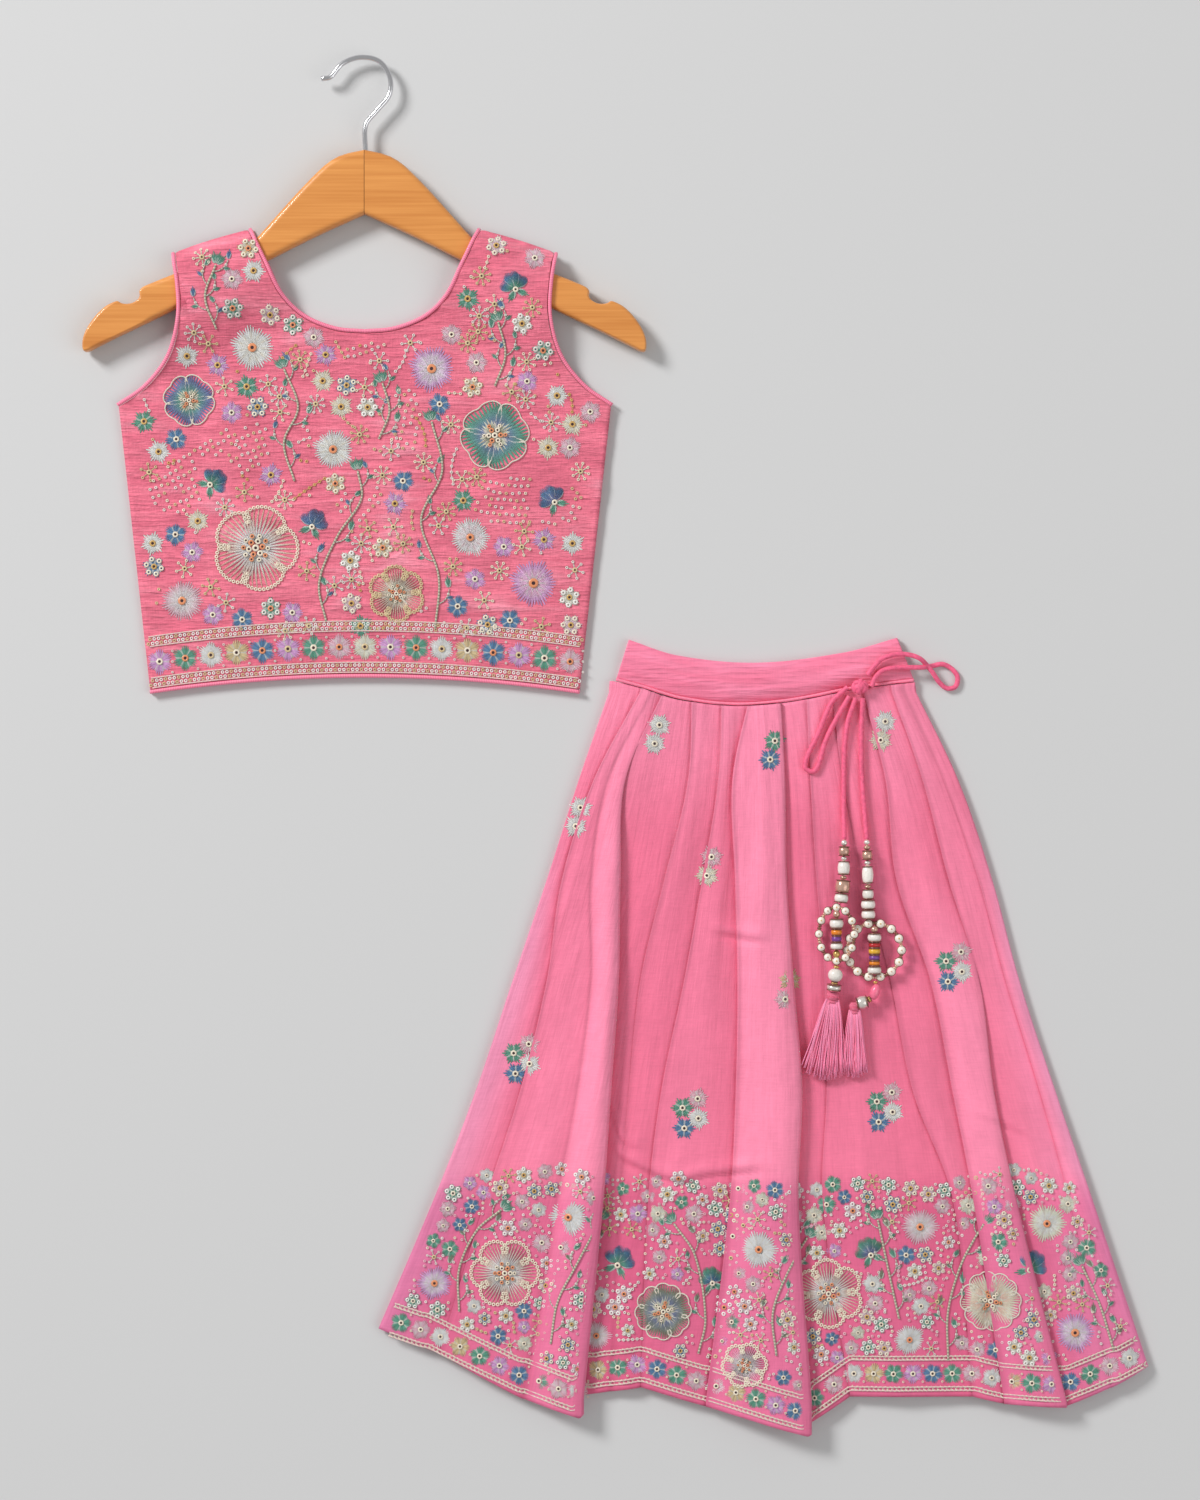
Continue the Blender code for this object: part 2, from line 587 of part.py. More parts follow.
def drawstring(name, route, material):
    """A cord that lies on the cloth, eased over the folds that it crosses."""
    points = smooth_route(route, 2.1 * CORD)
    seats = [seat_height(x, y, CORD / 2 + 0.8) for x, y, lift in points]
    eased = []
    for i in range(len(seats)):
        near = seats[max(i - 1, 0):i + 2]
        eased.append(max(near))
    placed = [(x, y, z + lift + GAP + CORD / 2) for (x, y, lift), z in zip(points, eased)]
    return add_tube(name, placed, CORD, material)


def drawstring_knot(material):
    shape = bmesh.new()
    bmesh.ops.create_uvsphere(shape, u_segments=12, v_segments=8, radius=0.5)
    bmesh.ops.scale(shape, vec=KNOT_SIZE, verts=shape.verts)
    height = seat_height(*KNOT_CENTRE, 4.0) + GAP + KNOT_SIZE[2] / 2
    bmesh.ops.translate(shape, vec=(*KNOT_CENTRE, height), verts=shape.verts)
    return add_mesh("drawstring_knot", shape, material)


def latkan_floor():
    """The highest cloth in the area that the latkans lie on."""
    (left, low), (right, high) = LATKAN_AREA
    heights = []
    for i in range(12):
        for k in range(24):
            heights.append(surface_under(left + (right - left) * i / 11, low + (high - low) * k / 23))
    return max(heights) + GAP


def bead_string(name, route, beads, material):
    """Beads threaded along a route above the cloth."""
    floor = latkan_floor()
    shape = bmesh.new()
    turned(shape, [(x, y, z + floor) for x, y, z in route], bead_sections(beads))
    return add_mesh(name, shape, material)


def beaded_ring(name, ring, column, material):
    """A ring of round beads with a string of beads down its middle, as one solid."""
    centre, half, tilt = ring["centre"], ring["half"], math.radians(ring["tilt"])
    steps, sides = RING_BEADS * 2, 6
    parts = []
    shape = bmesh.new()
    rings = []
    for i in range(steps):
        angle = 2 * math.pi * i / steps
        swell = 0.68 if i % 2 else 1.0
        middle = Vector((math.cos(angle) * half[0], math.sin(angle) * half[1], 0))
        outwards = Vector((math.cos(angle), math.sin(angle), 0))
        section = []
        for k in range(sides):
            turn = 2 * math.pi * (k + 0.5) / sides
            spot = middle + (outwards * math.cos(turn) + Vector((0, 0, math.sin(turn)))) * RING_BEAD * swell
            section.append(shape.verts.new(spot))
        rings.append(section)
    for i in range(steps):
        a, b = rings[i], rings[(i + 1) % steps]
        for k in range(sides):
            shape.faces.new((a[k], a[(k + 1) % sides], b[(k + 1) % sides], b[k]))
    parts.append(add_mesh(name, shape, material))
    shape = bmesh.new()
    turned(shape, [(0, half[1], 0), (0, -half[1], 0)], bead_sections(column, thread=1.1))
    parts.append(add_mesh(name + "_column_guide", shape, material))
    parts[1].hide_render = True
    parts[1].display_type = "WIRE"
    union = parts[0].modifiers.new("column", "BOOLEAN")
    union.operation = "UNION"
    union.solver = "EXACT"
    union.object = parts[1]
    for part in parts:
        part.rotation_euler = (0, -tilt, 0)
        part.location = (centre[0] * MM, centre[1] * MM, (latkan_floor() + ring["height"]) * MM)
    return parts[0]


def tassel(name, root, end, root_width, end_width, depth, material):
    """A tassel laid flat: strands drawn out of the inset cells of its head's lower face."""
    shape = bmesh.new()
    root, end = Vector((*root, 0)), Vector((*end, 0))
    along = (end - root).normalized()
    across = Vector((-along.y, along.x, 0))
    length = (end - root).length
    head = 4.4
    grid = []
    for layer in range(TASSEL_LAYERS + 1):
        row = []
        for column in range(TASSEL_COLUMNS + 1):
            side = (column / TASSEL_COLUMNS - 0.5) * root_width
            row.append(shape.verts.new(root + across * side + Vector((0, 0, depth * layer / TASSEL_LAYERS))))
        grid.append(row)
    cells = []
    for layer in range(TASSEL_LAYERS):
        for column in range(TASSEL_COLUMNS):
            cells.append(shape.faces.new((grid[layer][column], grid[layer][column + 1],
                                          grid[layer + 1][column + 1], grid[layer + 1][column])))
    back = bmesh.ops.extrude_face_region(shape, geom=cells)
    moved = [item for item in back["geom"] if isinstance(item, bmesh.types.BMVert)]
    for vert in moved:
        offset = vert.co - root
        vert.co = vert.co - along * head - across * offset.dot(across) * 0.35
        vert.co.z = depth / 2 + (vert.co.z - depth / 2) * 0.8
    cells = [face for face in shape.faces
             if abs(face.calc_center_median().dot(along) - root.dot(along)) < 0.01]
    bmesh.ops.recalc_face_normals(shape, faces=shape.faces)
    bmesh.ops.inset_individual(shape, faces=cells, thickness=0.09, use_even_offset=True)
    for cell in cells:
        offset = (cell.calc_center_median() - root).dot(across) / root_width
        steps = 3
        for step in range(steps):
            drawn = bmesh.ops.extrude_discrete_faces(shape, faces=[cell])
            cell = drawn["faces"][0]
            share_old, share = step / steps, (step + 1) / steps
            spread = (end_width - root_width) * (share ** 0.8 - share_old ** 0.8)
            wobble = 0.5 * math.sin(7.0 * offset + 2.0 * step)
            trim = 1.0 - 0.05 * abs(math.sin(23.0 * offset)) if step == steps - 1 else 1.0
            move = along * (length / steps) * trim + across * (offset * spread + 0.1 * wobble)
            bmesh.ops.translate(shape, vec=move, verts=cell.verts)
    bmesh.ops.translate(shape, vec=(0, 0, latkan_floor() + TASSEL_CLEAR), verts=shape.verts)
    return add_mesh(name, shape, material, sharp_angle=60.0)


def build_hanger():
    wood = make_material("light wood", (0.72, 0.36, 0.12), 0.45)
    chrome = make_material("chrome wire", (0.75, 0.75, 0.76), 0.18, 1.0)
    hanger_half("hanger_half_left", -1, wood)
    hanger_half("hanger_half_right", 1, wood)
    hanger_hook(chrome)


def build_choli():
    gauze = make_material("crinkled gauze", CLOTH_PINK, 0.75)
    piping = make_material("satin piping", CLOTH_PINK, 0.5)
    rows = (0.0, 0.12, 0.26, 0.4, 0.54, 0.66, 0.74, 0.81, 0.87, 0.92, 0.952, 0.97, 0.985, 1.0)
    choli_panel("choli_front", choli_height, rows, FRONT_THICK, gauze)
    choli_panel("choli_back", choli_back_height, (0.0, 0.45, 0.8, 0.965, 0.985, 1.0), BACK_THICK, gauze)
    neck_piping("choli_neck_piping_front", choli_height, FRONT_THICK, piping)
    neck_piping("choli_neck_piping_back", lambda x, y: BACK_THICK, BACK_THICK, piping)
    arm_piping("choli_arm_piping_left", -1, piping)
    arm_piping("choli_arm_piping_right", 1, piping)
    hem_piping("choli_hem_piping_front", lambda x, y: FRONT_BASE + PIPING - BACK_THICK, FRONT_THICK, piping)
    hem_piping("choli_hem_piping_back", lambda x, y: BACK_THICK, BACK_THICK, piping)


def build_skirt():
    cloth = make_material("skirt cloth", SKIRT_PINK, 0.6)
    piping = make_material("band piping", SKIRT_PINK, 0.5)
    skirt_back(cloth)
    skirt_front(cloth)
    waistband("waistband_back", False, cloth)
    waistband("waistband_front", True, cloth)
    waistband_piping(piping)


def build_drawstring():
    cord = make_material("drawstring cloth", CORD_PINK, 0.6)
    drawstring_knot(cord)
    drawstring("drawstring_loop_right", LOOP_RIGHT, cord)
    drawstring("drawstring_loop_left", LOOP_LEFT, cord)
    drawstring("drawstring_end_left", END_LEFT, cord)
    drawstring("drawstring_end_right", END_RIGHT, cord)


def build_latkans():
    silver = make_material("silver beads", (0.80, 0.74, 0.68), 0.3, 0.8)
    thread = make_material("tassel thread", TASSEL_PINK, 0.7)
    bead_string("latkan_left_beads", LEFT_STRING, LEFT_BEADS, silver)
    beaded_ring("latkan_left_ring", LEFT_RING, LEFT_COLUMN, silver)
    bead_string("latkan_left_drop", LEFT_DROP_ROUTE, LEFT_DROP, silver)
    bead_string("latkan_right_beads", RIGHT_STRING, RIGHT_BEADS, silver)
    beaded_ring("latkan_right_ring", RIGHT_RING, RIGHT_COLUMN, silver)
    bead_string("latkan_right_drop", RIGHT_DROP_ROUTE, RIGHT_DROP, silver)
    tassel("latkan_left_tassel", (122.9, -144.4), (118.4, -189.3), 7.0, 18.6, 4.2, thread)
    tassel("latkan_right_tassel", (134.5, -151.9), (136.4, -187.3), 5.4, 9.6, 3.8, thread)


def main():
    for item in list(bpy.data.objects):
        bpy.data.objects.remove(item, do_unlink=True)
    build_hanger()
    build_choli()
    build_skirt()
    build_drawstring()
    build_latkans()


main()
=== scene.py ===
import math

import bmesh
import bpy
import numpy as np
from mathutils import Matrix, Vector


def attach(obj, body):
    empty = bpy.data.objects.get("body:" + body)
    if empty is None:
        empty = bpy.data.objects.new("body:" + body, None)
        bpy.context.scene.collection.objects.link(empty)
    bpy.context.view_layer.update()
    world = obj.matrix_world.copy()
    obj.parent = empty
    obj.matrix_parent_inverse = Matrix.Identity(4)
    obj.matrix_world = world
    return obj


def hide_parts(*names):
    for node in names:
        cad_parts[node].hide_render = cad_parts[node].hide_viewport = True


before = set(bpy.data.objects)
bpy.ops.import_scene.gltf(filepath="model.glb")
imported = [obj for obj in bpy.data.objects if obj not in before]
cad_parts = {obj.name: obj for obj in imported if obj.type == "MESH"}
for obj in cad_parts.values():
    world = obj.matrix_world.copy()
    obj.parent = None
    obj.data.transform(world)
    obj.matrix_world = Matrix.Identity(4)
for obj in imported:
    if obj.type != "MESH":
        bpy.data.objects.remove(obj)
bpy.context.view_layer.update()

# Lengths below are in millimetres, turned into metres where meshes are made
MM = 0.001
MM_IN_METRE = 1000.0
GAP = 0.3
BACK_THICK = 1.5
BACK_LEVEL = BACK_THICK - 0.1
FRONT_THICK = 1.8
FRONT_BASE = BACK_THICK + GAP + FRONT_THICK
random = np.random.default_rng(7)


# Number helpers

def srgb(red, green, blue):
    """A colour as seen, 0 to 255, as the linear numbers that shaders take."""
    values = np.array((red, green, blue)) / 255.0
    return tuple(np.where(values <= 0.04045, values / 12.92, ((values + 0.055) / 1.055) ** 2.4))


def smooth_step(low, high, at):
    t = np.clip((at - low) / (high - low), 0.0, 1.0)
    return t * t * (3 - 2 * t)


def curve_at(keys, values, at):
    """Smooth value of a table at each place, with keys rising or falling."""
    keys, values = np.asarray(keys, dtype=float), np.asarray(values, dtype=float)
    at = np.asarray(at, dtype=float)
    if keys[0] > keys[-1]:
        keys, at = -keys, -at
    at = np.clip(at, keys[0], keys[-1])
    index = np.clip(np.searchsorted(keys, at, side="left") - 1, 0, len(keys) - 2)
    places = np.arange(len(keys))
    low, high = np.maximum(places - 1, 0), np.minimum(places + 1, len(keys) - 1)
    slopes = (values[high] - values[low]) / (keys[high] - keys[low])
    span = keys[index + 1] - keys[index]
    t = (at - keys[index]) / span
    start, end = values[index], values[index + 1]
    rise = slopes[index] * span * (t - 2 * t * t + t ** 3) + slopes[index + 1] * span * (t ** 3 - t * t)
    return start + (end - start) * (3 * t * t - 2 * t ** 3) + rise


def mixed(first, second, share):
    """Colours between two, at each point's share of the way."""
    return np.asarray(first) + (np.asarray(second) - first) * share[..., None]


def turns(count, start=0.0):
    """Angles at even steps round a circle."""
    return [start + 2 * math.pi * k / count for k in range(count)]


def around(x, y, reach, angle):
    """The point at a distance and an angle from a place."""
    return x + reach * math.cos(angle), y + reach * math.sin(angle)


def turned(px, py, angle, x=0.0, y=0.0):
    """Places turned by an angle about the origin, then moved."""
    c, s = math.cos(angle), math.sin(angle)
    return x + px * c - py * s, y + px * s + py * c


def unit(vectors):
    """Vectors in the same directions, one unit long."""
    return vectors / np.linalg.norm(vectors, axis=-1, keepdims=True)


def sideways(along):
    """Flat vectors turned a quarter to the left."""
    return np.stack((-along[..., 1], along[..., 0]), axis=-1)


def by_turns(values, k):
    """The value whose turn it is in an endless round of them."""
    return values[k % len(values)]


def lengths_along(route):
    """Distance along a route at each of its points."""
    return np.concatenate(([0.0], np.cumsum(np.linalg.norm(np.diff(route, axis=0), axis=1))))


NOISE = np.random.default_rng(3).random((256, 256))


def noise(x, y, shift=0):
    """Smooth noise from -1 to 1 with a grain of one unit."""
    x, y = np.asarray(x) + 37.3 * shift, np.asarray(y) + 11.9 * shift
    column, row = np.floor(x).astype(int), np.floor(y).astype(int)
    u, v = x - column, y - row
    u, v = u * u * (3 - 2 * u), v * v * (3 - 2 * v)
    c0, c1, r0, r1 = column % 256, (column + 1) % 256, row % 256, (row + 1) % 256
    low = NOISE[r0, c0] * (1 - u) + NOISE[r0, c1] * u
    high = NOISE[r1, c0] * (1 - u) + NOISE[r1, c1] * u
    return 2 * (low * (1 - v) + high * v) - 1


def smooth_route(points, spacing):
    """Points about one spacing apart on a smooth curve through the given ones."""
    points = np.array(points, dtype=float)
    lengths = lengths_along(points)
    at = np.linspace(0, lengths[-1], max(4, round(lengths[-1] / spacing)) + 1)
    return np.stack([curve_at(lengths, points[:, axis], at) for axis in range(points.shape[1])], axis=1)


def layered(x, y, layers):
    """The sum of several layers of noise."""
    return sum(noise(x / across, y / down, pattern) * tall for across, down, pattern, tall in layers)


# Shader helpers

def new_material(name, roughness, metallic=0.0, sheen=0.0, coat=0.0):
    material = bpy.data.materials.new(name)
    material.use_nodes = True
    shader = material.node_tree.nodes["Principled BSDF"]
    shader.inputs["Roughness"].default_value = roughness
    shader.inputs["Metallic"].default_value = metallic
    shader.inputs["Sheen Weight"].default_value = sheen
    shader.inputs["Sheen Roughness"].default_value = 0.35
    shader.inputs["Coat Weight"].default_value = coat
    return material, material.node_tree, shader


def add_node(tree, kind, inputs=None, **settings):
    node = tree.nodes.new(kind)
    for key, value in settings.items():
        setattr(node, key, value)
    for key, value in (inputs or {}).items():
        if isinstance(value, bpy.types.NodeSocket):
            tree.links.new(value, node.inputs[key])
        else:
            node.inputs[key].default_value = value
    return node


def scaled_noise(tree, scale, detail, rotation=0.0):
    """Noise in the object's own millimetres, with a size for each axis."""
    place = add_node(tree, "ShaderNodeTexCoord").outputs["Object"]
    scales = tuple(MM_IN_METRE / size for size in scale)
    mapping = {"Vector": place, "Rotation": (0, 0, rotation), "Scale": scales}
    turned = add_node(tree, "ShaderNodeMapping", mapping).outputs["Vector"]
    settings = {"Vector": turned, "Scale": 1.0, "Detail": detail, "Roughness": 0.55}
    return add_node(tree, "ShaderNodeTexNoise", settings).outputs["Fac"]


def mix_value(tree, kind, a, b):
    return add_node(tree, "ShaderNodeMath", {0: a, 1: b}, operation=kind).outputs[0]


def tint(tree, colour, amount, light, dark):
    """Multiply a colour by a number that runs from dark to light."""
    limits = {"Value": amount, "From Min": 0.25, "From Max": 0.75, "To Min": dark, "To Max": light}
    factor = add_node(tree, "ShaderNodeMapRange", limits).outputs["Result"]
    scale = add_node(tree, "ShaderNodeVectorMath", {0: colour, "Scale": factor}, operation="SCALE")
    return scale.outputs["Vector"]


def bump(tree, shader, height, distance):
    settings = {"Height": height, "Distance": distance * MM, "Strength": 1.0}
    node = add_node(tree, "ShaderNodeBump", settings)
    tree.links.new(node.outputs["Normal"], shader.inputs["Normal"])


def mesh_colour(tree):
    """The colour that each mesh carries."""
    return add_node(tree, "ShaderNodeAttribute", attribute_name="Tint").outputs["Color"]


def cloth_noise(tree, across, along):
    """Noise in the cloth's own millimetres, with a size across and along it."""
    place = add_node(tree, "ShaderNodeUVMap", uv_map="Cloth").outputs["UV"]
    turn = add_node(tree, "ShaderNodeMapping", {"Vector": place, "Scale": (1 / across, 1 / along, 1.0)})
    settings = {"Vector": turn.outputs["Vector"], "Scale": 1.0, "Detail": 3.0}
    return add_node(tree, "ShaderNodeTexNoise", settings, noise_dimensions="2D").outputs["Fac"]


def cloth_material(name, roughness, sheen, layers):
    """Woven cloth coloured by its mesh, with layers of noise in it."""
    material, tree, shader = new_material(name, roughness, sheen=sheen)
    colour = mesh_colour(tree)
    height = None
    for across, along, light, dark, depth in layers:
        value = cloth_noise(tree, across, along)
        colour = tint(tree, colour, value, light, dark)
        if depth:
            part = mix_value(tree, "MULTIPLY", value, depth)
            height = part if height is None else mix_value(tree, "ADD", height, part)
    tree.links.new(colour, shader.inputs["Base Color"])
    bump(tree, shader, height, 1.0)
    return material


def thread_material(name, roughness, sheen, stripe, depth):
    """Stitched thread coloured by its mesh, with stitches across each shape."""
    material, tree, shader = new_material(name, roughness, sheen=sheen)
    colour = mesh_colour(tree)
    place = add_node(tree, "ShaderNodeUVMap").outputs["UV"]
    settings = {"Vector": place, "Scale": stripe, "Distortion": 1.5, "Detail": 1.0}
    stitch = add_node(tree, "ShaderNodeTexWave", settings, bands_direction="X").outputs["Fac"]
    colour = tint(tree, colour, stitch, 1.12, 0.84)
    tree.links.new(colour, shader.inputs["Base Color"])
    bump(tree, shader, stitch, depth)
    return material


def bead_material(name):
    """Beads coloured by their mesh, some of glass and some of metal."""
    material, tree, shader = new_material(name, 0.22)
    colour = mesh_colour(tree)
    scuffs = scaled_noise(tree, (1.2, 1.2, 1.2), 2.0)
    tree.links.new(tint(tree, colour, scuffs, 1.05, 0.85), shader.inputs["Base Color"])
    metal = add_node(tree, "ShaderNodeAttribute", attribute_name="Metal").outputs["Fac"]
    tree.links.new(metal, shader.inputs["Metallic"])
    return material


def string_material(name):
    """Crinkled cloth of a narrow drawstring."""
    material, tree, shader = new_material(name, 0.6, sheen=0.3)
    folds = scaled_noise(tree, (2.2, 2.2, 2.2), 3.0)
    tree.links.new(tint(tree, STRING_PINK, folds, 1.15, 0.75), shader.inputs["Base Color"])
    bump(tree, shader, folds, 0.5)
    return material


def wood_material(name, lean):
    """Light honey wood with its grain along the arm."""
    material, tree, shader = new_material(name, 0.38, coat=0.25)
    long_grain = scaled_noise(tree, (70.0, 1.3, 8.0), 5.0, lean)
    bands = scaled_noise(tree, (160.0, 7.0, 20.0), 2.0, lean)
    grain = mix_value(tree, "ADD", *(mix_value(tree, "MULTIPLY", part, 0.5) for part in (long_grain, bands)))
    ramp = add_node(tree, "ShaderNodeValToRGB", {"Fac": grain})
    for stop, (place, colour) in zip(ramp.color_ramp.elements, ((0.3, WOOD_DARK), (0.68, WOOD_LIGHT))):
        stop.position = place
        stop.color = (*colour, 1)
    tree.links.new(ramp.outputs["Color"], shader.inputs["Base Color"])
    bump(tree, shader, long_grain, 0.12)
    return material


# Mesh helpers

def new_object(name, data):
    item = bpy.data.objects.new(name, data)
    bpy.context.collection.objects.link(item)
    return item


def make_object(name, mesh, material):
    mesh.materials.append(material)
    mesh.shade_smooth()
    item = new_object(name, mesh)
    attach(item, "root")
    return item


def stand_for(piece, node):
    """Hide the solid that a piece takes the place of."""
    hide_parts(node)


def colour_mesh(mesh, colours):
    layer = mesh.color_attributes.new("Tint", "FLOAT_COLOR", "POINT")
    rgba = np.ones((len(mesh.vertices), 4), dtype=np.float32)
    rgba[:, :3] = colours
    layer.data.foreach_set("color", rgba.ravel())


def add_uvs(mesh, name, spots):
    layer = mesh.uv_layers.new(name=name)
    order = np.zeros(len(mesh.loops), dtype=np.int32)
    mesh.loops.foreach_get("vertex_index", order)
    layer.data.foreach_set("uv", spots[order].ravel().astype(np.float32))


def grid_mesh(name, x, y, z, colours, rim=1.2, across=None):
    """A cloth sheet from rows and columns of points, its free edges turned down by a rim."""
    across = x if across is None else across
    x, y, z, across = (np.pad(values, 1, mode="edge") for values in (x, y, z, across))
    z[0, :] -= rim
    z[-1, :] -= rim
    z[1:-1, 0] -= rim
    z[1:-1, -1] -= rim
    colours = np.pad(colours, ((1, 1), (1, 1), (0, 0)), mode="edge")
    rows, columns = x.shape
    points = np.stack((x, y, z), axis=-1).reshape(-1, 3) * MM
    corner = (np.arange(rows - 1)[:, None] * columns + np.arange(columns - 1)[None, :]).ravel()
    faces = np.stack((corner, corner + columns, corner + columns + 1, corner + 1), axis=1)
    mesh = bpy.data.meshes.new(name)
    mesh.from_pydata(points.tolist(), [], faces.tolist())
    if mesh.polygons[len(faces) // 2].normal.z < 0:
        mesh.flip_normals()
    colour_mesh(mesh, colours.reshape(-1, 3))
    add_uvs(mesh, "Cloth", np.stack((across, y), axis=-1).reshape(-1, 2))
    return mesh


class Heap:
    """Many small shapes gathered into one mesh."""

    def __init__(self):
        self.points, self.faces, self.colours, self.uvs, self.metal, self.count = [], [], [], [], [], 0

    def add(self, shape, colours, uvs=None, metal=0.0):
        points, faces = shape
        self.metal.append(np.full(len(points), metal))
        self.points.append(points)
        self.faces.extend((np.asarray(face) + self.count).tolist() for face in faces)
        self.colours.append(np.broadcast_to(colours, (len(points), 3)))
        self.uvs.append(np.zeros((len(points), 2)) if uvs is None else uvs)
        self.count += len(points)

    def build(self, name, material, panel=None):
        """Make the object; on a panel, x is from its centre line and z is the height above its cloth."""
        points = np.concatenate(self.points)
        if panel is not None:
            height_at, centre, lift = panel
            points[:, 2] += height_at(points[:, 0], points[:, 1]) + lift
            points[:, 0] += centre
        mesh = bpy.data.meshes.new(name)
        mesh.from_pydata((points * MM).tolist(), [], self.faces)
        colour_mesh(mesh, np.concatenate(self.colours))
        add_uvs(mesh, "Stitch", np.concatenate(self.uvs))
        mesh.attributes.new("Metal", "FLOAT", "POINT").data.foreach_set("value", np.concatenate(self.metal))
        return make_object(name, mesh, material)


def ring_faces(rings, sides):
    """Faces between closed rings of points, one ring after the other."""
    faces = []
    for i in range(rings - 1):
        for k in range(sides):
            a, b = i * sides + k, i * sides + (k + 1) % sides
            faces.append((a, b, b + sides, a + sides))
    return faces


def tube_shape(route, radii, sides=8, flat=1.0):
    """Closed tube along a route of points, with a radius at each point."""
    route = np.asarray(route, dtype=float)
    radii = np.broadcast_to(radii, len(route))
    along = unit(np.gradient(route, axis=0))
    upright = np.abs(along[0, 2]) > 0.9
    across = unit(np.cross(along, (1.0, 0, 0) if upright else (0, 0, 1.0)))
    up = np.cross(across, along)
    turn = 2 * np.pi * (np.arange(sides) + 0.5) / sides
    ring = across[:, None] * np.cos(turn)[None, :, None] + up[:, None] * np.sin(turn)[None, :, None] * flat
    points = (route[:, None] + ring * radii[:, None, None]).reshape(-1, 3)
    faces = ring_faces(len(route), sides)
    faces.append(tuple(range(sides))[::-1])
    faces.append(tuple(range(len(points) - sides, len(points))))
    return points, faces


def bead_shape(centre, size, along=(1, 0, 0), rings=8, sides=12, power=1.0):
    """A bead: a round, or with a low power a boxier, turned form; size is length and width."""
    along = unit(np.asarray(along, dtype=float))
    angles = np.linspace(0.06 * np.pi, 0.94 * np.pi, rings)
    route = np.asarray(centre) - np.cos(angles)[:, None] * along * size[0] / 2
    return tube_shape(route, np.sin(angles) ** power * size[1] / 2, sides)


def round_tube(name, route, diameter, material, thread_from):
    """A cord as a curve of one open spline; from a given point on it is only a thin thread."""
    curve = bpy.data.curves.new(name, "CURVE")
    curve.dimensions = "3D"
    curve.bevel_depth = diameter / 2 * MM
    curve.bevel_resolution = 4
    curve.use_fill_caps = True
    spline = curve.splines.new("POLY")
    spline.points.add(len(route) - 1)
    for i, (spot, point) in enumerate(zip(spline.points, route)):
        spot.co = (*(value * MM for value in point), 1.0)
        spot.radius = 1.0 if i < thread_from else THREAD / diameter
    curve.materials.append(material)
    item = new_object(name, curve)
    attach(item, "root")
    return item


# Colours

PINK = srgb(246, 118, 152)
# The next two are a paler pink, which is also the painted highlight on the skirt's folds and the waistband's
# gathers, and the painted shade in the skirt's valleys
PINK_HIGHLIGHT_AND_PALE = srgb(255, 140, 174)
PINK_PAINTED_SHADE = srgb(226, 78, 118)
SHEER = srgb(236, 146, 182)
GAUZE = srgb(243, 122, 146)
# The gauze's painted highlight on its crinkles' crests and painted shade in their troughs
GAUZE_PAINTED_HIGHLIGHT = srgb(255, 160, 180)
GAUZE_PAINTED_SHADE = srgb(214, 88, 116)
STRING_PINK = srgb(244, 98, 138)
PIPING_PINK = srgb(252, 132, 164)
CREAM = srgb(252, 240, 216)
WHITE = srgb(255, 251, 246)
LILAC = srgb(226, 170, 224)
GREEN = srgb(104, 172, 148)
BLUE = srgb(98, 142, 184)
PERIWINKLE = srgb(126, 136, 184)
SAGE = srgb(150, 158, 134)
BEIGE = srgb(230, 206, 160)
PEACH = srgb(242, 158, 112)
SILVER = srgb(244, 238, 230)
GOLD = srgb(222, 180, 108)
ROSE = srgb(252, 196, 210)
BLUSH = srgb(250, 196, 178)
# Painted shade, a dark disc in the hole of each sequin that has a middle
PAINTED_HOLE_SHADE = srgb(70, 44, 48)
PEARL = srgb(246, 240, 232)
BRONZE = srgb(216, 176, 156)
DARK_BRONZE = srgb(140, 96, 82)
STONE = srgb(252, 244, 230)
ORANGE = srgb(240, 140, 44)
YELLOW = srgb(246, 190, 60)
PURPLE = srgb(128, 70, 150)
RED = srgb(206, 52, 56)
TASSEL_PINK = srgb(255, 122, 156)
WOOD_DARK = srgb(200, 122, 50)
WOOD_LIGHT = srgb(232, 158, 82)
WIRE = (0.72, 0.72, 0.74)
# How much of the red, green and blue the skirt's border loses
BORDER_SHADE = (0.18, 0.36, 0.22)
# How much brighter petals are than their thread, and how pale their outer stitches
PETAL_GLOW = 1.15
PALE_EDGE = 0.6

# Noise in each cloth: size across, size along, lightest, darkest, depth
GAUZE_LAYERS = ((15.0, 1.3, 1.14, 0.82, 0.9), (5.0, 0.8, 1.1, 0.86, 0.4), (0.8, 5.0, 1.06, 0.92, 0.15),
                (22.0, 9.0, 1.07, 0.9, 0.0))
SKIRT_LAYERS = ((5.0, 70.0, 1.02, 0.97, 0.5), (0.8, 14.0, 1.03, 0.96, 0.1), (10.0, 0.8, 1.03, 0.95, 0.1),
                (26.0, 40.0, 1.04, 0.95, 0.8), (6.0, 9.0, 1.02, 0.97, 0.25))
BAND_LAYERS = ((26.0, 2.2, 1.07, 0.86, 0.9), (0.8, 9.0, 1.03, 0.96, 0.08), (9.0, 1.2, 1.04, 0.94, 0.3))

# Layers of noise in the shape: size across, size down, pattern and height
CRINKLE_DRIFT = ((70.0, 50.0, 1, 4.0), (18.0, 16.0, 2, 1.2))
CHOLI_DRAPE = ((34.0, 120.0, 8, 0.9), (60.0, 60.0, 9, 0.7))
SKIRT_DRAPE = ((22.0, 80.0, 21, 0.7), (11.0, 50.0, 22, 0.4))

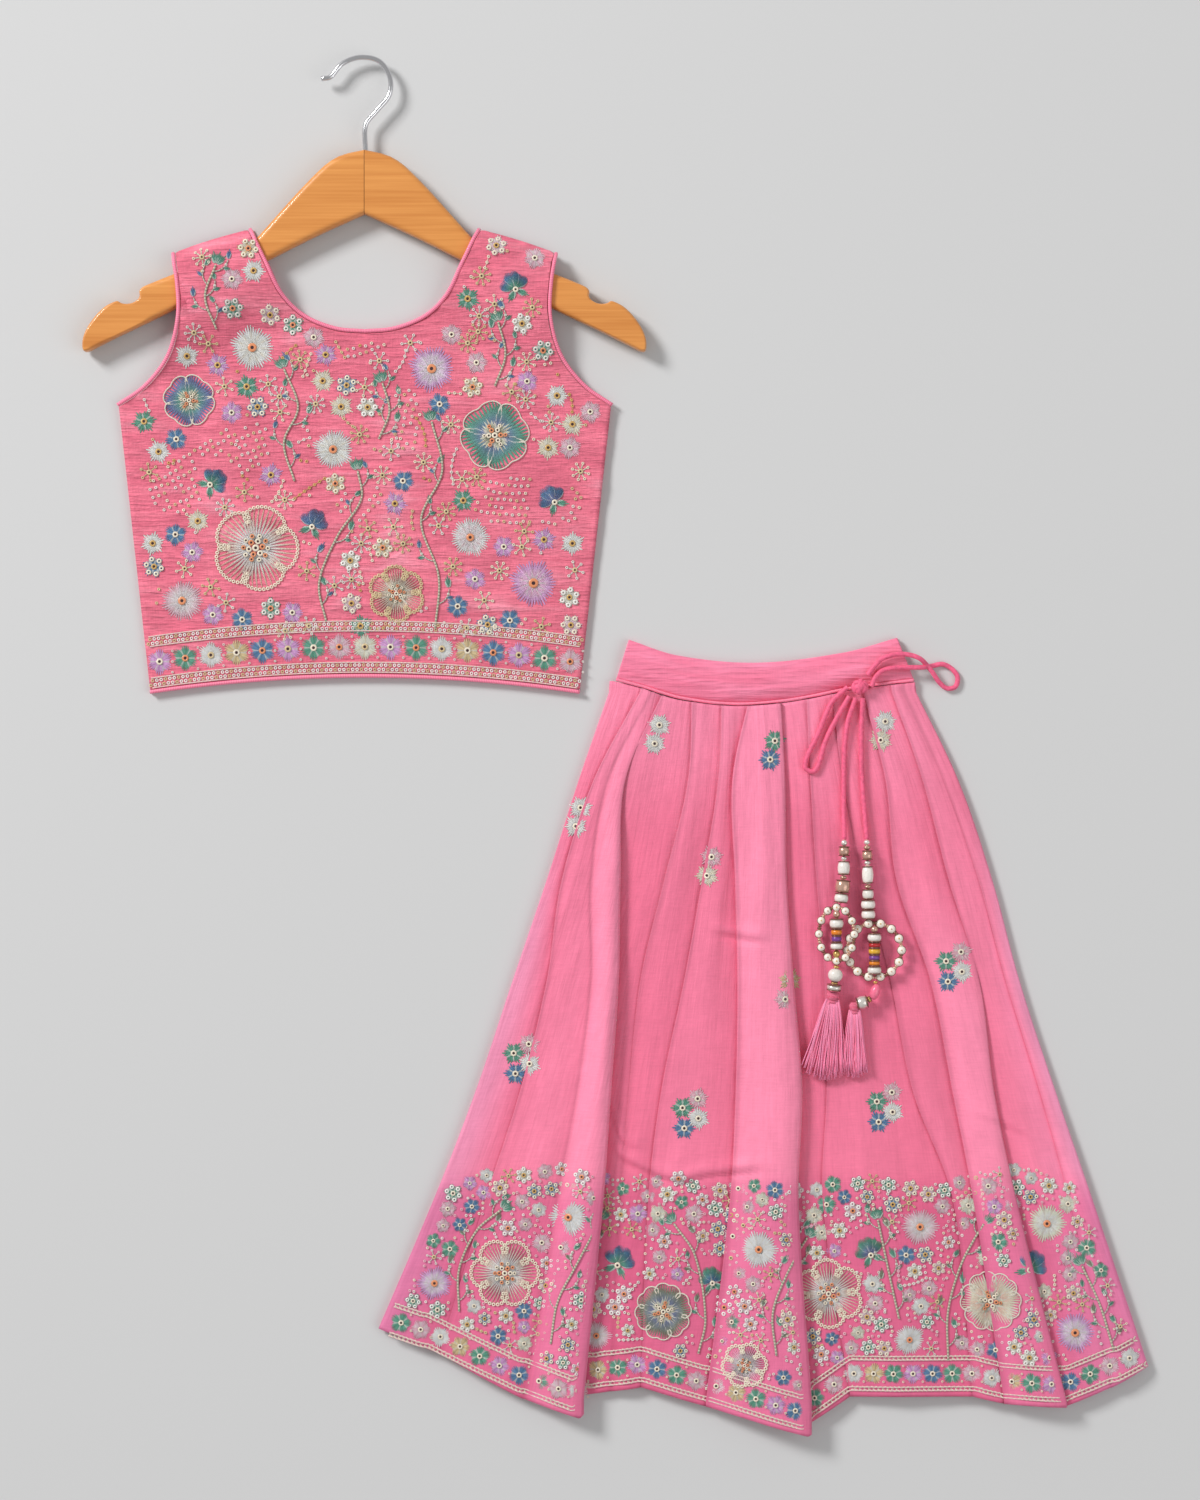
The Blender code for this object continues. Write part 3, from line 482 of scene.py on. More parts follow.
# Where the choli's centre line is, its corded edge, and the hanger that is in it
CHOLI_X = -142.9
PIPING = 2.3
HANGER_BOTTOM = PIPING + GAP
HANGER_THICK = 9.0
HANGER_TOP = HANGER_BOTTOM + HANGER_THICK
WOOD_ROUND = 3.0
UNDER_ROUND = 0.6
FACE_INSET = 0.8
WIRE_RADIUS = 1.5
# How much of the rounding is left along the arm: less where the notch is
WOOD_EASE_X = (118.0, 124.0, 130.0, 142.0, 148.0, 154.0, 160.4)
WOOD_EASE = (1.0, 0.5, 0.35, 0.35, 0.6, 0.6, 0.3)
# Hanger outline, from its centre line: x, y
WOOD_UPPER = [(0.0, 338.0), (17.0, 334.5), (32.5, 319.8), (48.5, 302.1), (57.5, 291.8), (64.0, 285.0),
              (85.0, 276.5), (110.0, 266.8), (124.7, 260.8), (126.8, 259.4), (128.0, 257.6), (127.5, 255.1),
              (128.5, 252.9), (132.5, 250.5), (137.5, 250.5), (139.7, 252.2), (141.8, 251.9), (148.2, 248.7),
              (155.3, 240.8), (159.9, 232.3), (160.4, 224.6)]
WOOD_LOWER = [(0.0, 301.5), (28.0, 289.0), (56.0, 274.7), (85.0, 259.5), (110.0, 246.2), (135.0, 234.5),
              (152.0, 226.0), (158.0, 222.8)]
HOOK_ROUTE = [(0.6, 336.4), (0.6, 352.2), (6.5, 360.0), (14.0, 369.5), (14.2, 380.0), (8.0, 388.7),
              (-3.0, 390.7), (-13.0, 386.9), (-19.6, 379.5), (-24.5, 378.6)]

# Choli's outline: x, y, and the x at the hem of the line of cloth that runs down from there
NECK = [(0.0, 236.6, 0.0), (16.5, 238.2, 5.5), (33.6, 245.1, 11.5), (46.2, 257.1, 17.5),
        (54.7, 274.2, 23.5), (64.0, 293.6, 30.0)]
# Stands for the neck's last height, because no motif is kept back by the neck beyond it
NECK_FREE = 400.0
SHOULDER = [(64.0, 293.6), (87.0, 287.2), (110.0, 279.3)]
ARMHOLE = [(110.0, 279.3, 50.0), (107.2, 262.0, 59.0), (106.8, 242.3, 70.0), (112.6, 222.0, 83.0),
           (125.5, 205.5, 100.0), (141.4, 194.4, 122.3)]
HEM_SIDE = 122.3
HEM_SIDE_Y = 29.0
HEM_RISE = 9.2
HEM_LEVEL = FRONT_BASE + 0.8
# How the front rises over the hanger: distances below the arm, and how far out the arm counts
TENT = (4.0, 44.0)
ARM_REACH = 155.0
# How much the front stands up in the middle, and half the width of that
SWELL = 1.2
SWELL_HALF = 150.0
SEAM_LIFT = 3.0
SHOULDER_FALL = 7.5
WRINKLE = 3.4
EDGE_GAP = PIPING + 0.2


def wood_edge(table, x):
    return np.interp(x, [row[0] for row in table], [row[1] for row in table])


def shoulder_y(x):
    return curve_at([row[0] for row in SHOULDER], [row[1] for row in SHOULDER], np.abs(x))


def choli_hem(x):
    return HEM_SIDE_Y + HEM_RISE * (1 - (x / HEM_SIDE) ** 2)


def crinkle(x, y, size):
    """Fine uneven wrinkles that run across the cloth and drift up and down."""
    level = y + layered(x, y, CRINKLE_DRIFT)
    fine = 1 - np.abs(noise(x / 34.0, level / (0.9 * size), 3))
    broad = 1 - np.abs(noise(x / 55.0, level / (2.3 * size), 4))
    patch = 0.55 + 0.45 * noise(x / 30.0, y / 22.0, 5)
    return (0.55 * fine ** 2 + 0.75 * broad ** 3) * patch


def choli_height(x, y, detail=True):
    """Height of the front's outer face; x is measured from the choli's centre line."""
    off = np.minimum(np.abs(x), ARM_REACH)
    over = HANGER_TOP + GAP + FRONT_THICK
    swell = SWELL * (1 - (x / SWELL_HALF) ** 2) * smooth_step(20.0, 90.0, y)
    base = FRONT_BASE + np.maximum(swell, 0.0)
    tent = 1 - smooth_step(TENT[0], TENT[1], wood_edge(WOOD_LOWER, off) - y)
    fall = 1 - smooth_step(0.0, SHOULDER_FALL, shoulder_y(x) - y)
    height = base + (over - base) * tent - (over - FRONT_BASE - SEAM_LIFT) * fall
    if detail:
        drape = layered(x, y, CHOLI_DRAPE) * smooth_step(290.0, 235.0, y)
        height = height + np.maximum(drape, -0.4) + crinkle(x, y, WRINKLE) - 0.4
    return height


def edge_run(rows, shares, inset):
    """Points at shares of one outline run, moved into the cloth, each with its place at the hem."""
    keys = np.arange(len(rows))
    at = shares * keys[-1]
    spots = np.stack([curve_at(keys, [row[axis] for row in rows], at) for axis in range(3)], axis=1)
    along = np.gradient(spots[:, :2], axis=0)
    if rows is NECK:
        along[0] = (1.0, 0.0)
    spots[:, :2] -= sideways(unit(along)) * inset
    return spots


def choli_top(inset, counts):
    neck = edge_run(NECK, np.linspace(0, 1, counts[0]), inset)
    arm = edge_run(ARMHOLE, np.linspace(0, 1, counts[2]), inset)
    t = np.linspace(0, 1, counts[1] + 2)[1:-1]
    x = neck[-1, 0] + (arm[0, 0] - neck[-1, 0]) * t
    shoulder = np.stack((x, shoulder_y(x), NECK[-1][2] + (ARMHOLE[0][2] - NECK[-1][2]) * t), axis=1)
    half = np.concatenate((neck, shoulder, arm))
    mirrored = half[:0:-1] * (-1, 1, -1)
    return np.concatenate((mirrored, half))


def choli_panel(name, height_at, counts, rows, rim, material):
    top = choli_top(EDGE_GAP, counts)
    v = np.linspace(0, 1, rows)[:, None] ** 0.92
    start = choli_hem(top[:, 2]) + EDGE_GAP
    x = top[:, 2] + (top[:, 0] - top[:, 2]) * v
    y = start + (top[:, 1] - start) * v
    z = height_at(x, y)
    wrinkles = crinkle(x, y, WRINKLE)
    # Painted highlight on the crests of the crinkles and painted shade in their troughs
    colours = mixed(GAUZE, GAUZE_PAINTED_HIGHLIGHT, smooth_step(0.35, 1.1, wrinkles) * 0.7)
    colours = mixed(colours, GAUZE_PAINTED_SHADE, (1 - smooth_step(0.05, 0.35, wrinkles)) * 0.4)
    return make_object(name, grid_mesh(name, CHOLI_X + x, y, z, colours, rim), material)


def piping_route(spots, height_at, thick):
    z = height_at(spots[:, 0], spots[:, 1]) - thick + PIPING / 2
    return np.stack((CHOLI_X + spots[:, 0], spots[:, 1], z), axis=1)


def rounded_outline(points, passes):
    """Cut the corners of an open run of points, keeping its two ends."""
    for _ in range(passes):
        early = points[:-1] * 0.75 + points[1:] * 0.25
        late = points[:-1] * 0.25 + points[1:] * 0.75
        middle = np.stack((early, late), axis=1).reshape(-1, 2)[1:-1]
        points = np.concatenate((points[:1], middle, points[-1:]))
    return points


def wooden_half(name, side, material):
    """One half of the hanger, its edges rounded but for the mitre in the middle."""
    outline = rounded_outline(np.array(WOOD_UPPER + WOOD_LOWER[::-1]), 2)
    outline[:, 0] = np.maximum(outline[:, 0], GAP / 2)
    along = np.gradient(outline, axis=0)
    along[0], along[-1] = along[1], along[-2]
    inward = -sideways(unit(along))
    inward[[0, -1], 0] = 0.0
    ease = np.interp(outline[:, 0], WOOD_EASE_X, WOOD_EASE)
    quarter = np.linspace(0, np.pi / 2, 6)
    falling, rising = WOOD_ROUND * (1 - np.sin(quarter)), WOOD_ROUND * (1 - np.cos(quarter))
    profile = list(zip(falling * UNDER_ROUND, rising * UNDER_ROUND))
    profile += list(zip(rising, HANGER_THICK - falling))
    profile.insert(0, (profile[0][0] + FACE_INSET, 0.0))
    profile.append((profile[-1][0] + FACE_INSET, HANGER_THICK))
    rings = []
    for inset, lift in profile:
        spots = outline + inward * inset * ease[:, None]
        height = np.full(len(spots), HANGER_BOTTOM + lift)
        rings.append(np.column_stack((CHOLI_X + side * spots[:, 0], spots[:, 1], height)))
    count = len(outline)
    faces = ring_faces(len(rings), count)
    faces.append(tuple(range(count)))
    faces.append(tuple(range((len(rings) - 1) * count, len(rings) * count)))
    mesh = bpy.data.meshes.new(name)
    mesh.from_pydata((np.concatenate(rings) * MM).tolist(), [], faces)
    shape = bmesh.new()
    shape.from_mesh(mesh)
    bmesh.ops.recalc_face_normals(shape, faces=shape.faces)
    shape.to_mesh(mesh)
    shape.free()
    piece = make_object(name, mesh, material)
    mesh.set_sharp_from_angle(angle=math.radians(50))
    return piece


def build_hanger():
    chrome, tree, shader = new_material("polished wire", 0.16, 1.0)
    shader.inputs["Base Color"].default_value = (*WIRE, 1)
    scuffs = scaled_noise(tree, (3.0, 3.0, 3.0), 4.0)
    rough = add_node(tree, "ShaderNodeMapRange", {"Value": scuffs, "To Min": 0.1, "To Max": 0.26})
    tree.links.new(rough.outputs["Result"], shader.inputs["Roughness"])
    for name, side in (("hanger_half_left", -1), ("hanger_half_right", 1)):
        grain = wood_material(name + " grain", side * math.radians(25))
        stand_for(wooden_half(name + "_wood", side, grain), name)
    route = smooth_route(HOOK_ROUTE, 1.5)
    height = np.full((len(route), 1), HANGER_BOTTOM + HANGER_THICK / 2)
    heap = Heap()
    heap.add(tube_shape(np.hstack((route + (CHOLI_X, 0), height)), WIRE_RADIUS, 14), WIRE)
    stand_for(heap.build("hook_wire", chrome), "hanger_hook")


def build_choli(gauze, satin):
    front = choli_panel("choli_front_cloth", choli_height, (46, 18, 38), 250, 1.4, gauze)
    stand_for(front, "choli_front")

    def back_height(x, y):
        fall = 1 - smooth_step(0.0, 6.0, shoulder_y(x) - y)
        return BACK_LEVEL + SEAM_LIFT * fall + 0 * x

    back = choli_panel("choli_back_cloth", back_height, (24, 8, 20), 60, 1.3, gauze)
    stand_for(back, "choli_back")
    flat = lambda x, y: BACK_THICK + 0 * x
    level = lambda x, y: HEM_LEVEL + 0 * x
    plain = lambda x, y: choli_height(x, y, False)
    hem_x = np.linspace(-HEM_SIDE, HEM_SIDE, 160)
    hem = np.stack((hem_x, choli_hem(hem_x) + PIPING / 2), axis=1)
    neck = edge_run(NECK, np.linspace(0, 1, 60), PIPING / 2)[:, :2]
    neck = np.concatenate((neck[:0:-1] * (-1, 1), neck))
    arm = edge_run(ARMHOLE, np.linspace(0, 1, 60), PIPING / 2)[:, :2]
    rows = (("neck_piping_front", "choli_neck_piping_front", neck, plain, FRONT_THICK),
            ("neck_piping_back", "choli_neck_piping_back", neck, flat, BACK_THICK),
            ("arm_piping_left", "choli_arm_piping_left", arm * (-1, 1), plain, FRONT_THICK),
            ("arm_piping_right", "choli_arm_piping_right", arm, plain, FRONT_THICK),
            ("hem_piping_front", "choli_hem_piping_front", hem, level, FRONT_THICK),
            ("hem_piping_back", "choli_hem_piping_back", hem, flat, BACK_THICK))
    for name, node, spots, height_at, thick in rows:
        heap = Heap()
        route = piping_route(spots, height_at, thick)
        heap.add(tube_shape(route, PIPING / 2, 10), PIPING_PINK, tube_uvs(len(route), 10, 1.0))
        piece = heap.build(name, satin)
        stand_for(piece, node)


def tube_uvs(count, sides, pitch):
    """Coordinates along and round a tube."""
    along = np.repeat(np.arange(count) * pitch, sides)
    around = np.tile(np.arange(sides) / sides, count)
    return np.stack((along, around), axis=1)


# Skirt

SKIRT_X = 84.8
LEVELS = [31.0, -20.0, -77.0, -134.0, -197.0, -259.0, -373.0]
# Fold lines from left to right: x at each level, then the hem's y on the line's two sides
FOLD_LINES = {
    "left_edge": ((-88.4, -106.0, -124.3, -143.6, -164.7, -188.7, -237.7), (-332.0, -332.0)),
    "pleat_1": ((-70.1, -96.9, -115.1, -123.7, -139.1, -159.0, -193.2), (-346.0, -346.0)),
    "ridge_a": ((-63.8, -89.5, -99.2, -99.2, -107.2, -118.6, -137.9), (-371.6, -371.6)),
    "pleat_2": ((-57.0, -79.8, -83.8, -85.5, -90.1, -94.6, -105.7), (-381.9, -369.9)),
    "pleat_3": ((-41.0, -43.3, -57.0, -70.7, -77.5, -82.2, -88.1), (-367.7, -367.7)),
    "pleat_4": ((-23.9, -26.2, -35.3, -45.6, -58.7, -66.1, -70.7), (-365.4, -365.4)),
    "pleat_5": ((-7.4, -17.7, -16.0, -14.8, -16.0, -19.4, -33.1), (-376.2, -376.2)),
    "pleat_6": ((8.0, 10.3, 10.8, 14.3, 18.8, 16.5, 23.9), (-392.2, -386.5)),
    "pleat_7": ((23.9, 26.2, 29.6, 34.2, 35.3, 33.1, 49.0), (-370.5, -370.5)),
    "pleat_8": ((38.2, 44.5, 55.9, 71.3, 84.4, 107.2, 118.3), (-370.5, -370.5)),
    "ridge_c": ((55.9, 69.0, 75.2, 94.6, 107.2, 119.0, 136.2), (-374.5, -374.5)),
    "pleat_9": ((72.4, 90.1, 104.9, 121.4, 128.8, 141.4, 169.9), (-376.2, -376.2)),
    "side_fold": ((78.7, 101.5, 121.5, 137.0, 156.3, 173.3, 198.4), (-365.4, -365.4)),
    "right_edge": ((85.5, 110.0, 129.4, 144.8, 165.3, 186.4, 224.6), (-353.4, -353.4)),
}
# Height of the cloth above its base just left and just right of each line, at these levels
HEIGHT_LEVELS = [31.0, -77.0, -197.0, -380.0]
FOLD_HEIGHTS = {
    "left_edge": ((0.0, 0.0, 0.0, 0.0), (0.2, 0.3, 0.5, 0.8)),
    "pleat_1": ((0.4, 0.8, 1.5, 3.0), (2.6, 2.8, 2.8, 3.5)),
    "ridge_a": ((2.2, 3.0, 3.2, 3.0), (2.2, 3.0, 3.2, 3.0)),
    "pleat_2": ((0.4, 6.0, 8.5, 9.0), (2.6, 1.0, 0.6, 1.0)),
    "pleat_3": ((0.4, 0.6, 0.6, 1.0), (2.6, 2.4, 0.9, 1.0)),
    "pleat_4": ((0.4, 0.6, 0.8, 1.5), (2.6, 2.6, 2.4, 2.0)),
    "pleat_5": ((0.4, 0.8, 1.2, 2.0), (2.8, 4.5, 3.8, 4.0)),
    "pleat_6": ((2.6, 5.0, 7.5, 8.5), (0.4, 0.6, 1.0, 1.5)),
    "pleat_7": ((0.4, 0.5, 0.8, 2.0), (2.4, 2.0, 2.0, 3.0)),
    "pleat_8": ((0.4, 1.2, 0.6, 2.0), (2.2, 1.2, 2.2, 2.5)),
    "ridge_c": ((0.4, 0.8, 1.5, 2.5), (2.8, 3.0, 4.0, 4.0)),
    "pleat_9": ((0.4, 1.5, 5.5, 6.5), (2.8, 3.5, 2.0, 2.5)),
    "side_fold": ((1.5, 2.0, 1.8, 3.0), (1.5, 2.6, 2.6, 3.0)),
    "right_edge": ((0.2, 0.3, 0.5, 0.8), (0.0, 0.0, 0.0, 0.0)),
}
FOLD_DOMES = {
    "ridge_a": (0.0, 1.5, 2.5, 3.0),
    "pleat_5": (0.3, 1.5, 3.0, 3.5),
    "ridge_c": (0.2, 1.0, 2.0, 2.5),
    "pleat_4": (0.2, 0.5, 0.8, 1.5),
    "side_fold": (0.2, 0.4, 0.8, 1.5),
}
PLAIN_DOME = (0.2, 0.3, 0.6, 1.0)
STEP_WIDTH = (2.2, 3.0, 4.5, 5.0)
SEAM_X = [-86.0, -70.7, -47.3, -16.5, 14.3, 53.6, 86.0]
SEAM_Y = [37.6, 33.6, 26.8, 23.4, 25.7, 33.1, 37.0]
BAND_TOP_X = [-77.5, -50.0, -5.0, 45.0, 75.2]
BAND_TOP_Y = [59.9, 51.0, 46.8, 52.6, 61.0]
BAND_PIPING = 2.0
BAND_PUFF = 3.2
BAND_SIDE = 84.4
PIPING_SIDE = 84.8
PIPING_RISE = 0.9
SEAM_GAP = 0.6
SEAM_DROP = BAND_PIPING / 2 + 0.3
WAIST_LEVEL = LEVELS[0]
# Half the skirt's width at the hem, and how far the back reaches up above the front's hem
HEM_HALF = 230.0
BACK_RISE = 3.0
FOLD_INSET = 0.35
# How far a fold laps over its neighbour, as a share of its step and at most
LAP_SHARE = 0.55
LAP_MOST = 3.2
FOLD_NAMES = list(FOLD_LINES)
# Creases that cross the folds: x and y along them, and how deep they are
CREASES = (((-84.0, -78.0, -60.0, -48.0, -34.0, -22.0, -4.0),
            (-234.0, -239.0, -247.0, -250.0, -246.0, -245.0, -242.0), 1.7),
           ((-28.0, -20.0, -10.0, -2.0), (-108.0, -109.5, -111.5, -112.0), 1.6),
           ((-132.0, -126.0, -121.0), (-160.0, -130.0, -100.0), 0.6),
           ((-88.0, -84.0, -78.0, -72.0), (-205.0, -222.0, -230.0, -231.0), 0.8),
           ((120.0, 132.0, 146.0, 158.0), (-212.0, -216.0, -222.0, -232.0), 0.7))


def line_x(name, y):
    return curve_at(LEVELS, FOLD_LINES[name][0], y)


def level_value(values, y):
    return curve_at(HEIGHT_LEVELS, values, y)


def fold_height(index, t, y):
    """Height above the base at a share t of the way from one fold line to the next."""
    left, right = FOLD_NAMES[index], FOLD_NAMES[index + 1]
    start = level_value(FOLD_HEIGHTS[left][1], y)
    end = level_value(FOLD_HEIGHTS[right][0], y)
    dome = level_value(FOLD_DOMES.get(left, PLAIN_DOME), y)
    return start + (end - start) * smooth_step(0.0, 1.0, t) + dome * 4 * t * (1 - t)


def seam_y(x):
    return curve_at(SEAM_X, SEAM_Y, x)


def fan(x, y):
    """Place across the skirt as it would be at the hem, so that the same number runs down a fold."""
    left, right = line_x("left_edge", y), line_x("right_edge", y)
    return -HEM_HALF + 2 * HEM_HALF * (x - left) / (right - left)


def inside_skirt(x, y, margin):
    return line_x("left_edge", y) + margin < x < line_x("right_edge", y) - margin


def skirt_detail(x, y):
    """Soft creases in the skirt: long ones down the folds and a few across them."""
    across = fan(x, y)
    down = layered(across, y, SKIRT_DRAPE) + (0.5 - np.abs(noise(across / 30.0, y / 120.0, 23))) * 0.8
    height = down * smooth_step(38.0, -30.0, y)
    for xs, ys, depth in CREASES:
        middle = np.interp(x, xs, ys)
        ease = smooth_step(xs[0] - 6, xs[0] + 8, x) * (1 - smooth_step(xs[-1] - 8, xs[-1] + 8, x))
        off = y - middle
        valley, ridge = np.exp(-(off / 1.5) ** 2), np.exp(-((off - 4.5) / 3.4) ** 2)
        height = height - depth * ease * valley + 0.9 * depth * ease * ridge
    return height


def skirt_height(x, y):
    """Height of the front's outer face; x is measured from the skirt's centre line."""
    x, y = np.asarray(x, dtype=float), np.asarray(y, dtype=float)
    lines = np.stack([line_x(name, y) for name in FOLD_NAMES])
    half = level_value(STEP_WIDTH, y) / 2
    height = np.zeros_like(x)
    for i in range(len(FOLD_NAMES) - 1):
        low = lines[i] + (half if i else 0.0)
        high = lines[i + 1] - (half if i < len(FOLD_NAMES) - 2 else 0.0)
        t = np.clip((x - low) / (high - low), 0.0, 1.0)
        inside = (x >= low) & (x <= high)
        height = np.where(inside, fold_height(i, t, y), height)
        if i:
            before, after = fold_height(i - 1, 1.0, y), fold_height(i, 0.0, y)
            step = (x > low - 2 * half) & (x < low)
            height = np.where(step, before + (after - before) * (x - low + 2 * half) / (2 * half), height)
    return FRONT_BASE + height + skirt_detail(x, y)


# A rolled fold edge, right side on top: shift as a share of the step, share of the lap, share of the rise
ROLL = ((0.05, 1.0, 0.04), (0.32, 1.0, 0.3), (0.0, 0.5, 0.5),
        (-0.12, 0.0, 0.6), (-0.34, 0.0, 0.82), (-0.1, 0.0, 0.98))


def skirt_grid(rows):
    """Columns of points down the front, with each fold's edge rolled under itself."""
    v = np.linspace(0, 1, rows)
    columns = []
    last = len(FOLD_NAMES) - 2
    for i in range(last + 1):
        left, right = FOLD_NAMES[i], FOLD_NAMES[i + 1]
        width = FOLD_LINES[right][0][5] - FOLD_LINES[left][0][5]
        hem_left, hem_right = FOLD_LINES[left][1][1], FOLD_LINES[right][1][0]
        for t in np.linspace(0, 1, max(8, round(width / 2.1))):
            first = line_x(left, WAIST_LEVEL) + (line_x(right, WAIST_LEVEL) - line_x(left, WAIST_LEVEL)) * t
            start = seam_y(first) - SEAM_DROP
            y = start + (hem_left + (hem_right - hem_left) * t - start) * v
            low = line_x(left, y) + (FOLD_INSET if i else 0.0)
            high = line_x(right, y) - (FOLD_INSET if i < last else 0.0)
            columns.append((low + (high - low) * t, y, fold_height(i, t, y)))
        if i == last:
            break
        start = seam_y(line_x(right, WAIST_LEVEL)) - SEAM_DROP
        y_left, y_right = (start + (hem - start) * v for hem in FOLD_LINES[right][1])
        before, after = fold_height(i, 1.0, y_left), fold_height(i + 1, 0.0, y_right)
        step = after - before
        size = np.abs(step)
        lap = np.minimum(LAP_SHARE * size, LAP_MOST)
        line = line_x(right, y_left)
        for (shift, under, rise), (back, beneath, fall) in zip(ROLL, ROLL[::-1]):
            right_on_top = line + shift * size + under * lap
            left_on_top = line - back * size - beneath * lap
            x = np.where(step > 0, right_on_top, left_on_top)
            share = np.where(step > 0, rise, 1 - fall)
            columns.append((x, y_left + (y_right - y_left) * share, before + share * step))
    return (np.stack([column[k] for column in columns], axis=1) for k in range(3))


def skirt_colours(x, y, z):
    """Painted shade deeper in the valleys and painted highlight lighter on the folds, lighter towards the
    waist, paler at the sides where it is sheer, painted light in the lower right valleys, painted dark lines
    along the fold lines, and a deeper border.
    """
    lines = {name: line_x(name, y) for name in ("pleat_1", "ridge_a", "pleat_9", "side_fold")}
    high = smooth_step(0.5, 6.0, z)
    upper = smooth_step(-60.0, 20.0, y)
    paler = 0.4 * smooth_step(lines["pleat_9"], lines["side_fold"], x) * smooth_step(0.0, -60.0, y)
    light = np.clip(0.25 + 0.75 * high + 0.45 * upper + paler, 0, 1)
    edge_left, edge_right = line_x("left_edge", y), line_x("right_edge", y)
    left = 1 - smooth_step(0.1, 1.0, (x - edge_left) / (lines["pleat_1"] - edge_left))
    right = smooth_step(0.0, 1.0, (x - lines["side_fold"]) / (edge_right - lines["side_fold"]))
    low = smooth_step(-210.0, -330.0, y) * smooth_step(lines["pleat_9"], lines["side_fold"], x) * 0.5
    sheer = np.maximum(np.maximum(left, right) * smooth_step(-20.0, -120.0, y) * 0.8, low)
    # Painted highlight on the raised folds and painted shade in the low valleys of the lower skirt; the same
    # mix makes the cloth lighter towards the waist and paler at the sheer sides
    colours = mixed(PINK, PINK_HIGHLIGHT_AND_PALE, light)
    colours = mixed(colours, PINK_PAINTED_SHADE, (1 - high) * (1 - upper) * 0.25 * (1 - sheer))
    colours = mixed(colours, SHEER, sheer)
    # Painted light: the low parts on the right of the lower skirt are lightened against the shadow that the
    # folds cast there
    valley = (1 - high) * smooth_step(lines["pleat_9"], lines["side_fold"], x) * smooth_step(-40.0, -160.0, y)
    colours = colours * (1 + 0.22 * valley[..., None])
    # Painted shade: a thin dark line along each fold line, where one fold laps over the next
    for name in FOLD_NAMES[1:-1]:
        near = np.exp(-((x - line_x(name, y)) / 1.1) ** 2) * (0.26 - 0.1 * smooth_step(-60.0, -260.0, y))
        colours = colours * (1 - near[..., None])
    band = smooth_step(-238.0, -264.0, y)[..., None]
    return np.minimum(colours * (1 - np.array(BORDER_SHADE) * band), 1.0)


def band_height(x, v):
    return FRONT_BASE + BAND_PUFF * np.clip(4 * v * (1 - v), 0, 1) ** 0.6 * (1 - (x / 95.0) ** 4)


def band_surface(x, y):
    low = seam_y(x)
    top = curve_at(BAND_TOP_X, BAND_TOP_Y, x)
    return band_height(x, np.clip((y - low) / (top - low), 0, 1))


def waistband(name, front, rows, columns, material):
    u = np.linspace(0, 1, columns)[None, :]
    v = np.linspace(0, 1, rows)[:, None]
    low_x = -BAND_SIDE + 2 * BAND_SIDE * u
    top_x = BAND_TOP_X[0] + (BAND_TOP_X[-1] - BAND_TOP_X[0]) * u
    low_y = seam_y(low_x) + BAND_PIPING / 2
    x = low_x + (top_x - low_x) * v
    y = low_y + (curve_at(BAND_TOP_X, BAND_TOP_Y, top_x) - low_y) * v
    flat_y = y - low_y
    gathers = 1.3 * (crinkle(x * 0.8, flat_y + 80.0, 3.6) - 0.45) if front else 0 * x
    z = band_height(x, v) + 1.1 * gathers * (4 * v * (1 - v)) ** 0.4 if front else BACK_LEVEL + 0 * x
    # Painted highlight on the front band's raised gathers, with a random tone in the cloth of both bands
    highlight_and_tone = np.clip(0.55 + 0.5 * gathers + 0.3 * noise(x / 20.0, flat_y / 3.0, 31), 0, 1)
    colours = mixed(PINK, PINK_HIGHLIGHT_AND_PALE, highlight_and_tone)
    return make_object(name, grid_mesh(name, SKIRT_X + x, y, z, colours, 1.4), material)


def front_hem(x):
    """The front hem's y under each place, from the fold lines."""
    keys, values = [], []
    for line in FOLD_LINES.values():
        keys += [line[0][-1] - 1.0, line[0][-1] + 1.0]
        values += list(line[1])
    return np.interp(x, keys, values)


